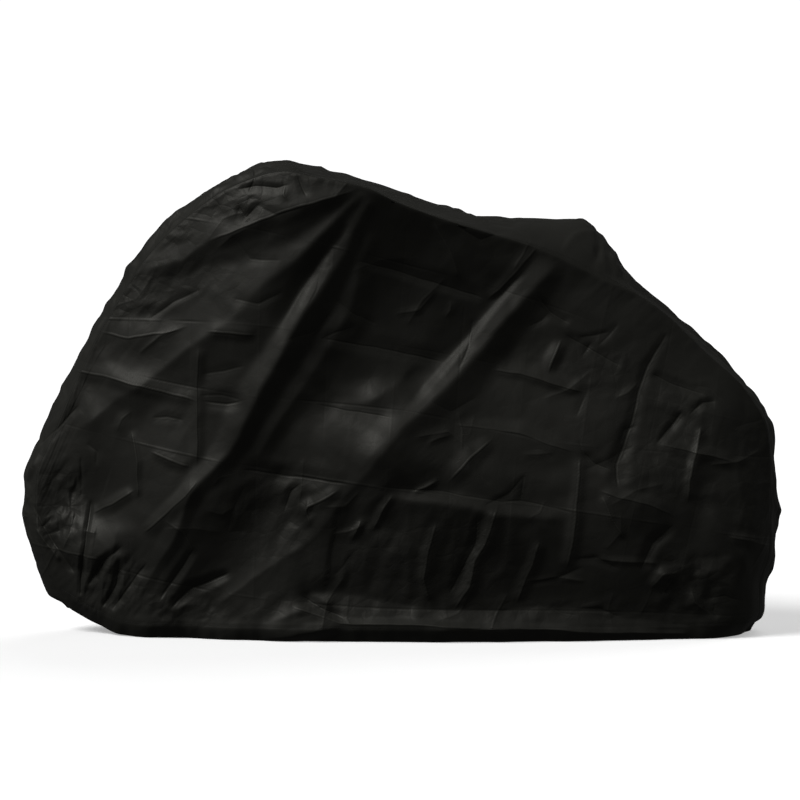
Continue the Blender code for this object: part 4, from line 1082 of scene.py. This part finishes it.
def panel_grid(side, sizes):
    """The grid of a side panel, as sheet_of_cloth takes it."""
    u = crowded(PANEL_COLUMN_CROWDING, PANEL_CELLS[0])[:, None]
    v = crowded(PANEL_ROW_CROWDING, PANEL_CELLS[1])[None, :]
    base, lift, creases = side_panel(u, v, side, sizes)
    return base, np.array([0.0, side, 0.0]), lift, creases, base[..., [0, 2]], -side


def strip_grid(sizes):
    """The grid of the strip, as sheet_of_cloth takes it."""
    end = seam_knots()[0][-1]
    along = crowded(STRIP_STATION_CROWDING, STRIP_CELLS[0])[:, None] * end
    across = crowded(STRIP_ROW_CROWDING, STRIP_CELLS[1])[None, :]
    base, lift, creases = top_strip(along, across, sizes)
    flat = np.stack([along + 0 * across, base[..., 1]], axis=-1)
    return base, outward(strip_base, along, across), lift, creases, flat, 1


def evenly(line, start, end, pitch):
    """Places between start and end whose points on the line are one pitch apart, measured along the line."""
    fine = np.linspace(start, end, STITCH_LINE)
    points = line(fine)
    lengths = np.concatenate([[0.0], np.cumsum(np.linalg.norm(np.diff(points, axis=0), axis=1))])
    count = int(lengths[-1] / pitch)
    return np.interp((np.arange(count) + 0.5) * lengths[-1] / count, lengths, fine)


def stitch_row(surface, line, start, end, sizes, turned):
    """Middles, directions and normals of the stitches of one row. line(t) gives a and b on the surface."""
    t = evenly(lambda t: surface(*line(t)), start, end, sizes.stitch_pitch)
    step = (end - start) * STITCH_STEP
    middle = surface(*line(t))
    direction = surface(*line(t + step)) - surface(*line(t - step))
    direction = direction / np.linalg.norm(direction, axis=-1, keepdims=True)
    normal = outward(surface, *line(t)) * turned
    normal = normal - (normal * direction).sum(axis=-1, keepdims=True) * direction
    return middle, direction, normal / np.linalg.norm(normal, axis=-1, keepdims=True)


def stitches(name, rows, sizes):
    """All the stitches of a piece in one mesh: each is a short tube of thread, thinner at its two ends,
    which dip into the cloth."""
    middle, direction, normal = (np.concatenate(parts) for parts in zip(*rows))
    sideways = np.cross(normal, direction)
    turn = np.arange(STITCH_SIDES) * 2 * np.pi / STITCH_SIDES
    place, radius, height = np.array(STITCH_RINGS).T
    axes = (each[:, None, None, :] for each in (middle, direction, normal, sideways))
    middle, direction, normal, sideways = axes
    place, radius, height = (each[None, :, None, None] for each in (place, radius, height))
    round_ring = np.cos(turn)[:, None] * sideways + np.sin(turn)[:, None] * normal
    points = (
        middle
        + direction * place * sizes.stitch_length / 2
        + normal * height * sizes.thread_thickness
        + round_ring * radius * sizes.thread_thickness / 2
    )
    count, rings = points.shape[:2]
    number = np.arange(count * rings * STITCH_SIDES).reshape(count, rings, STITCH_SIDES)
    after = np.roll(number, -1, axis=2)
    tube = np.stack([number[:, :-1], after[:, :-1], after[:, 1:], number[:, 1:]], axis=-1).reshape(-1, 4)
    caps = np.concatenate([number[:, 0, ::-1], number[:, -1]])
    flat = np.stack(np.broadcast_arrays(place[..., 0] * sizes.stitch_length, turn), axis=-1)
    flat = np.broadcast_to(flat, (count,) + flat.shape[1:]).reshape(-1, 2)
    return closed_mesh(name, points.reshape(-1, 3), (tube, caps), flat)


class Value:
    """A socket's value, on which + - and * add Math nodes."""

    def __init__(self, nodes, socket):
        self.nodes, self.socket = nodes, socket

    def math(self, operation, *values):
        return self.nodes.add("ShaderNodeMath", {"operation": operation}, dict(enumerate(values)))

    def __add__(self, other):
        return self.math("ADD", self, other)

    def __sub__(self, other):
        return self.math("SUBTRACT", self, other)

    def __rsub__(self, other):
        return self.math("SUBTRACT", other, self)

    def __mul__(self, other):
        return self.math("MULTIPLY", self, other)

    def between(self, low, high):
        """0 below low, 1 above high, and a smooth rise between."""
        ends = {"Value": self, "From Min": low, "From Max": high}
        return self.nodes.add("ShaderNodeMapRange", {"interpolation_type": "SMOOTHSTEP"}, ends)

    def stretched(self, scale):
        """This vector times another, one number for each axis."""
        return self.nodes.add("ShaderNodeVectorMath", {"operation": "MULTIPLY"}, {0: self, 1: scale})


class Nodes:
    """The nodes of a material or a world under construction."""

    def __init__(self, owner):
        owner.use_nodes = True
        self.owner, self.tree = owner, owner.node_tree
        self.tree.nodes.clear()

    def add(self, kind, settings, inputs, output=0):
        """A node of this kind, with its settings made first and then its sockets filled or linked by name or
        number. Returns the given output as a Value."""
        node = self.tree.nodes.new(kind)
        for name, value in settings.items():
            setattr(node, name, value)
        for name, value in inputs.items():
            if isinstance(value, Value):
                self.tree.links.new(value.socket, node.inputs[name])
            else:
                node.inputs[name].default_value = value
        return Value(self, node.outputs[output])

    def ended(self, shader, kind="ShaderNodeOutputMaterial"):
        """Links the shader to the surface of an output node, and returns the finished material or world."""
        output = self.tree.nodes.new(kind)
        self.tree.links.new(shader.socket, output.inputs["Surface"])
        return self.owner


class Finish(Nodes):
    """A material under construction, which ends in one Principled shader."""

    def __init__(self, name):
        super().__init__(bpy.data.materials.new(name))

    def mixed(self, share, first, second):
        """A colour between the two, at this share of the second."""
        return self.add("ShaderNodeMix", {"data_type": "RGBA"}, {"Factor": share, 6: first, 7: second}, 2)

    def noise(self, place, scale, detail=2.0):
        """Soft random values from 0 to 1, scale patches to the metre."""
        return self.add("ShaderNodeTexNoise", {}, {"Vector": place, "Scale": scale, "Detail": detail})

    def wrinkles(self, place, across):
        """Rises from 0 along the edges of uneven cells this many metres across, in metres."""
        settings = {"feature": "DISTANCE_TO_EDGE"}
        return self.add("ShaderNodeTexVoronoi", settings, {"Vector": place, "Scale": 1 / across}) * across

    def parts(self, vector):
        """The three numbers of a vector."""
        split = self.tree.nodes.new("ShaderNodeSeparateXYZ")
        self.tree.links.new(vector.socket, split.inputs[0])
        return [Value(self, output) for output in split.outputs]

    def marks(self, name):
        """The three numbers that a layer of creases has at each point."""
        return self.parts(self.add("ShaderNodeAttribute", {"attribute_name": name}, {}, "Vector"))

    def crease_lines(self):
        """How much paler the cloth is along its sharp creases, from 0 to 1, which is rubbed coating and a
        painted highlight on their crests, the height of their fine crests, in metres, and how crumpled the
        cloth is. The first two fall off with the distance from the crease."""
        rubbed_and_highlit, crest = 0.0, 0.0
        _, _, crumple = self.marks(CREASES[0])
        for name in CREASES:
            away, sharpness, _ = self.marks(name)
            away = away.math("ABSOLUTE", away)
            # A paler line along each sharp crease: rubbed coating and a painted highlight on its crest.
            rubbed_and_highlit = (1.0 - away.between(0.0, HIGHLIGHT_AND_RUB_REACH)) * sharpness.math("ABSOLUTE", sharpness) + rubbed_and_highlit
            crest = (1.0 - away.between(0.0, CREST_REACH)) * sharpness * CREST_HEIGHT + crest
        return rubbed_and_highlit, crest, crumple

    def finished(self, height, inputs):
        """Ends the material in a Principled shader with these inputs and a bump height in metres."""
        normal = self.add("ShaderNodeBump", {}, {"Height": height, "Distance": 1.0, "Strength": 1.0})
        return self.ended(self.add("ShaderNodeBsdfPrincipled", {}, {"Normal": normal, **inputs}))


def coated_cloth(name, colours):
    """Thin woven cloth with a dull coating: fine threads both ways, small wrinkles that come and go, and a
    paler, smoother coating along sharp creases, which is rubbed coating and, in its paler colour, a painted
    highlight on their crests."""
    finish = Finish(name)
    flat = finish.add("ShaderNodeUVMap", {"uv_map": CLOTH_MAP}, {})
    crease, crest, crumple = finish.crease_lines()
    threads = finish.noise(flat.stretched((1.0, THREAD_RUN, 1.0)), THREADS, 1.0)
    threads = threads + finish.noise(flat.stretched((THREAD_RUN, 1.0, 1.0)), THREADS, 1.0)
    cloudy = finish.noise(flat, CLOUDS, 3.0)
    patchy = finish.noise(flat, PATCHES).between(*PATCH_EDGE)
    bends = finish.add("ShaderNodeTexNoise", {}, {"Vector": flat, "Scale": BENDS, "Detail": 1.0}, "Color")
    bent = finish.add("ShaderNodeVectorMath", {"operation": "MULTIPLY_ADD"}, {0: bends, 1: BEND, 2: flat})
    wide, fine = (finish.wrinkles(bent, across) * steepness for across, steepness in WRINKLES)
    wrinkled = patchy * WRINKLED_PATCHES + crumple * WRINKLED_CRUMPLES + WRINKLED
    grain = finish.noise(flat, GRAINS, 1.0)
    # Painted highlight: the colour turns paler along sharp creases, standing in for light on their crests as
    # well as for rubbed coating. The clouds vary it at random.
    rubbed_and_highlit = crease * HIGHLIT_AND_RUBBED_CREASES + (cloudy - 0.5) * RUBBED_CLOUDS + RUBBED
    rough = (cloudy - 0.5) * CLOUD_ROUGHNESS - crease * CREASE_SMOOTHNESS
    return finish.finished(crest + (wide + fine) * wrinkled + (threads + grain) * THREAD_HEIGHT, {
        "Base Color": finish.mixed(rubbed_and_highlit, tuple(colours.cloth_colour), tuple(colours.rubbed_colour)),
        "Roughness": rough + (threads - 1.0) * THREAD_ROUGHNESS + CLOTH_ROUGHNESS,
        "Specular IOR Level": CLOTH_GLOSS,
        "Specular Tint": tuple(colours.gloss_colour),
    })


def stitching_thread(name, colours):
    """Twisted sewing thread: the turns of its plies run slantwise round it."""
    finish = Finish(name)
    flat = finish.add("ShaderNodeUVMap", {"uv_map": CLOTH_MAP}, {})
    along, turn, _ = finish.parts(flat)
    slant = along * PLY_SLANT + turn * PLIES
    plies = slant.math("SINE", slant)
    fuzz = finish.noise(finish.add("ShaderNodeTexCoord", {}, {}, "Object"), FUZZ)
    return finish.finished(plies * PLY_HEIGHT, {
        "Base Color": finish.mixed(fuzz, tuple(colours.thread_colour), tuple(colours.rubbed_colour)),
        "Roughness": fuzz * FUZZ_ROUGHNESS + PLY_ROUGHNESS,
        "Specular IOR Level": PLY_GLOSS,
    })


def studio_paper(name, colours):
    """Dull paper that glows a little, so that the floor is as light as the surroundings."""
    finish = Finish(name)
    return finish.ended(finish.add("ShaderNodeBsdfPrincipled", {}, {
        "Base Color": tuple(colours.floor_colour), "Roughness": PAPER_ROUGHNESS, "Specular IOR Level": 0.0,
        "Emission Color": WHITE, "Emission Strength": FLOOR_GLOW,
    }))


def length(name, description, default, most):
    """A size in metres that a user can change."""
    return bpy.props.FloatProperty(
        name=name, description=description, default=default, min=0.0, max=most, unit="LENGTH", precision=4
    )


def share(name, description, default, most):
    """A number without a unit that a user can change."""
    return bpy.props.FloatProperty(name=name, description=description, default=default, min=0.0, max=most)


def colour(name, description, default):
    """A colour that a user can change."""
    return bpy.props.FloatVectorProperty(
        name=name, description=description, default=default, size=4, min=0.0, max=1.0, subtype="COLOR"
    )


class CoverSizes(bpy.types.PropertyGroup):
    """Sizes of the cover's folds, hems and stitches."""

    fold_height: share("Fold height", "How tall the folds are against their own table", 1.0, 2.0)
    crumple_height: share("Crumple height", "How tall the crumples are against their own table", 1.0, 3.0)
    hem_roll: length("Hem roll", "How far the foot of the cloth turns in under the cover", 0.024, 0.05)
    hem_stitch_inset: length("Hem stitch inset", "From the edge of a hem to its stitches", 0.036, 0.08)
    seam_stitch_inset: length("Seam stitch inset", "From a seam to the stitches beside it", 0.007, 0.03)
    stitch_length: length("Stitch length", "Length of one stitch", 0.0036, 0.01)
    stitch_pitch: length("Stitch pitch", "From one stitch's middle to the next one's", 0.0050, 0.02)
    thread_thickness: length("Thread thickness", "Thickness of the sewing thread", 0.0009, 0.003)


class CoverColours(bpy.types.PropertyGroup):
    """Colours of the cover and of the stage."""

    cloth_colour: colour("Cloth", "The coating where it is untouched", (0.011, 0.011, 0.0095, 1.0))
    # The paler colour mixed in along sharp creases, as rubbed coating and a painted highlight on their
    # crests, and in random clouds and the thread's fuzz.
    rubbed_colour: colour("Rubbed cloth", "The coating where it is rubbed", (0.023, 0.023, 0.0195, 1.0))
    gloss_colour: colour("Gloss", "Tint of the light that the coating reflects", (1.0, 0.98, 0.90, 1.0))
    thread_colour: colour("Thread", "The sewing thread", (0.010, 0.010, 0.010, 1.0))
    floor_colour: colour("Floor", "The studio floor", (0.90, 0.90, 0.90, 1.0))
    lamp_power: share("Lamp strength", "Light from the main lamp, in watts to the square metre", 2.42, 50.0)


def put_on(piece, node, material):
    """Gives a new piece its material and its body, and hides the imported part it replaces, if one is named.
    """
    piece.data.materials.append(material)
    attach(piece, "root")
    if node:
        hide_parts(node)
    return piece


def material_of(make, colours):
    """The material that make builds, made once."""
    name = make.__name__.replace("_", " ").capitalize()
    return bpy.data.materials.get(name) or make(name, colours)


class COVER_OT_left_panel(bpy.types.Operator):
    """Make the panel on the left side of the bicycle."""

    bl_idname = "cover.left_panel"
    bl_label = "Left panel"

    def execute(self, context):
        sizes, colours = context.scene.cover_sizes, context.scene.cover_colours
        piece = sheet_of_cloth("left_side_cloth", *panel_grid(-1, sizes))
        put_on(piece, "left_panel", material_of(coated_cloth, colours))
        return {"FINISHED"}


class COVER_OT_right_panel(bpy.types.Operator):
    """Make the panel on the right side of the bicycle."""

    bl_idname = "cover.right_panel"
    bl_label = "Right panel"

    def execute(self, context):
        sizes, colours = context.scene.cover_sizes, context.scene.cover_colours
        piece = sheet_of_cloth("right_side_cloth", *panel_grid(1, sizes))
        put_on(piece, "right_panel", material_of(coated_cloth, colours))
        return {"FINISHED"}


class COVER_OT_top_strip(bpy.types.Operator):
    """Make the strip that runs from the front wheel over the handlebar and saddle to the rear wheel."""

    bl_idname = "cover.top_strip"
    bl_label = "Top strip"

    def execute(self, context):
        sizes, colours = context.scene.cover_sizes, context.scene.cover_colours
        piece = sheet_of_cloth("top_strip_cloth", *strip_grid(sizes))
        put_on(piece, "top_strip", material_of(coated_cloth, colours))
        return {"FINISHED"}


def sew_panel(name, side, sizes, thread):
    """The row of stitches along a side panel's hem."""
    def laid(u, v):
        base, lift, _ = side_panel(u, v, side, sizes)
        return base + np.array([0.0, side, 0.0]) * lift[..., None]

    def hem_line(t):
        return t, sizes.hem_stitch_inset / edge_metric(t, 0 * t, side)["hem"]

    row = stitch_row(laid, hem_line, *PANEL_HEM_ROW, sizes, -side)
    return put_on(stitches(name, [row], sizes), None, thread)


def sew_strip(name, sizes, thread):
    """The rows of stitches along the strip's two seams and its two hems."""
    end = seam_knots()[0][-1]

    def laid(along, across):
        base, lift, _ = top_strip(along, across, sizes)
        return base + outward(strip_base, along, across) * lift[..., None]

    def seam_line(side):
        def line(t):
            half = np.abs(strip_lines(t, side)[1][..., 1])
            return t, side * (1 - sizes.seam_stitch_inset / (STRIP_SLANT * half))

        return line

    def hem_line(at):
        return lambda t: (0 * t + at, t)

    rows = []
    for side in (-1, 1):
        rows.append(stitch_row(laid, seam_line(side), SEAM_ROW_GAP, end - SEAM_ROW_GAP, sizes, 1))
    for at in (sizes.hem_stitch_inset, end - sizes.hem_stitch_inset):
        rows.append(stitch_row(laid, hem_line(at), *STRIP_HEM_ROW, sizes, 1))
    return put_on(stitches(name, rows, sizes), None, thread)


class COVER_OT_stitches(bpy.types.Operator):
    bl_idname = "cover.stitches"
    bl_label = "Stitches"

    def execute(self, context):
        sizes, colours = context.scene.cover_sizes, context.scene.cover_colours
        thread = material_of(stitching_thread, colours)
        for name, side in (("left", -1), ("right", 1)):
            piece = sew_panel(f"{name}_hem_stitches", side, sizes, thread)
        piece = sew_strip("strip_stitches", sizes, thread)
        return {"FINISHED"}


def soft_lamp(name, source, width, power, gleams):
    """A far, broad lamp in the source's direction, which shows in the cloth's gloss if it gleams."""
    lamp = bpy.data.lights.new(name, "SUN")
    lamp.angle, lamp.energy = math.radians(width), power
    holder = bpy.data.objects.new(name, lamp)
    bpy.context.scene.collection.objects.link(holder)
    holder.rotation_euler = (-Vector(source)).to_track_quat("-Z", "Y").to_euler()
    holder.visible_glossy = gleams
    return holder


def studio_floor(colours):
    """The floor, which lights nothing and shows in no gloss."""
    round_middle = ((-1, -1), (1, -1), (1, 1), (-1, 1))
    mesh = bpy.data.meshes.new("studio_floor")
    corners = [(x * FLOOR_REACH, y * FLOOR_REACH, GROUND - FLOOR_GAP) for x, y in round_middle]
    mesh.from_pydata(corners, [], [(0, 1, 2, 3)])
    mesh.materials.append(material_of(studio_paper, colours))
    floor = bpy.data.objects.new("studio_floor", mesh)
    floor.visible_diffuse = floor.visible_glossy = False
    return floor


def light_up(power):
    """The lamps. The far lamp lights only what is on the right side, which the others leave dark."""
    soft_lamp("main_lamp", *MAIN_LAMP, power, True)
    soft_lamp("back_lamp", *BACK_LAMP[:2], power * BACK_LAMP[2], False)
    soft_lamp("side_lamp", *SIDE_LAMP[:2], power * SIDE_LAMP[2], False)
    far = soft_lamp("far_lamp", *FAR_LAMP[:2], power * FAR_LAMP[2], True)
    lit = bpy.data.collections.new("Lit by the far lamp")
    for name in ("right_side_cloth", "right_hem_stitches"):
        lit.objects.link(bpy.data.objects[name])
    far.light_linking.receiver_collection = lit


def surroundings():
    """White surroundings, which the camera sees brighter than they light the cover."""
    room = Nodes(bpy.data.worlds.new("Studio surroundings"))
    seen = room.add("ShaderNodeLightPath", {}, {}, "Is Camera Ray")
    strength = seen * (SEEN_GLOW - AMBIENT_GLOW) + AMBIENT_GLOW
    glow = room.add("ShaderNodeBackground", {}, {"Color": WHITE, "Strength": strength})
    return room.ended(glow, "ShaderNodeOutputWorld")


def side_camera():
    """A camera on the left side of the cover, a little above its middle."""
    camera = bpy.data.cameras.new("camera")
    camera.sensor_width, camera.lens = SENSOR_WIDTH, LENS
    camera.clip_end = 4 * FLOOR_REACH
    eye = bpy.data.objects.new("camera", camera)
    back = Vector((0.0, -math.cos(CAMERA_RISE), math.sin(CAMERA_RISE)))
    eye.location = AIM + back * CAMERA_DISTANCE
    eye.rotation_euler = (-back).to_track_quat("-Z", "Y").to_euler()
    return eye


class COVER_OT_stage(bpy.types.Operator):
    """Set up the floor, lamps, surroundings and camera."""

    bl_idname = "cover.stage"
    bl_label = "Stage"

    def execute(self, context):
        scene, colours = context.scene, context.scene.cover_colours
        floor = studio_floor(colours)
        scene.collection.objects.link(floor)
        light_up(colours.lamp_power)
        scene.world = surroundings()
        scene.view_settings.view_transform = "Standard"
        eye = side_camera()
        scene.collection.objects.link(eye)
        scene.camera = eye
        return {"FINISHED"}


class COVER_PT_sidebar(bpy.types.Panel):
    """Lists the steps that make the cover, in order, and its sizes and colours."""

    bl_idname = "COVER_PT_sidebar"
    bl_label = "Bicycle Cover"
    bl_space_type = "VIEW_3D"
    bl_region_type = "UI"
    bl_category = "Cover"

    def draw(self, context):
        for group in (context.scene.cover_sizes, context.scene.cover_colours):
            for name in group.__annotations__:
                self.layout.prop(group, name)
        for step in STEPS:
            self.layout.operator(step.bl_idname)


STEPS = (COVER_OT_left_panel, COVER_OT_right_panel, COVER_OT_top_strip, COVER_OT_stitches, COVER_OT_stage)
CLASSES = (CoverSizes, CoverColours) + STEPS + (COVER_PT_sidebar,)


def register():
    for each in CLASSES:
        bpy.utils.register_class(each)
    bpy.types.Scene.cover_sizes = bpy.props.PointerProperty(type=CoverSizes)
    bpy.types.Scene.cover_colours = bpy.props.PointerProperty(type=CoverColours)


def unregister():
    del bpy.types.Scene.cover_colours
    del bpy.types.Scene.cover_sizes
    for each in reversed(CLASSES):
        bpy.utils.unregister_class(each)


def main():
    register()
    bpy.ops.cover.left_panel()
    bpy.ops.cover.right_panel()
    bpy.ops.cover.top_strip()
    bpy.ops.cover.stitches()
    bpy.ops.cover.stage()
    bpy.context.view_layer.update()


if __name__ == "__main__":
    main()
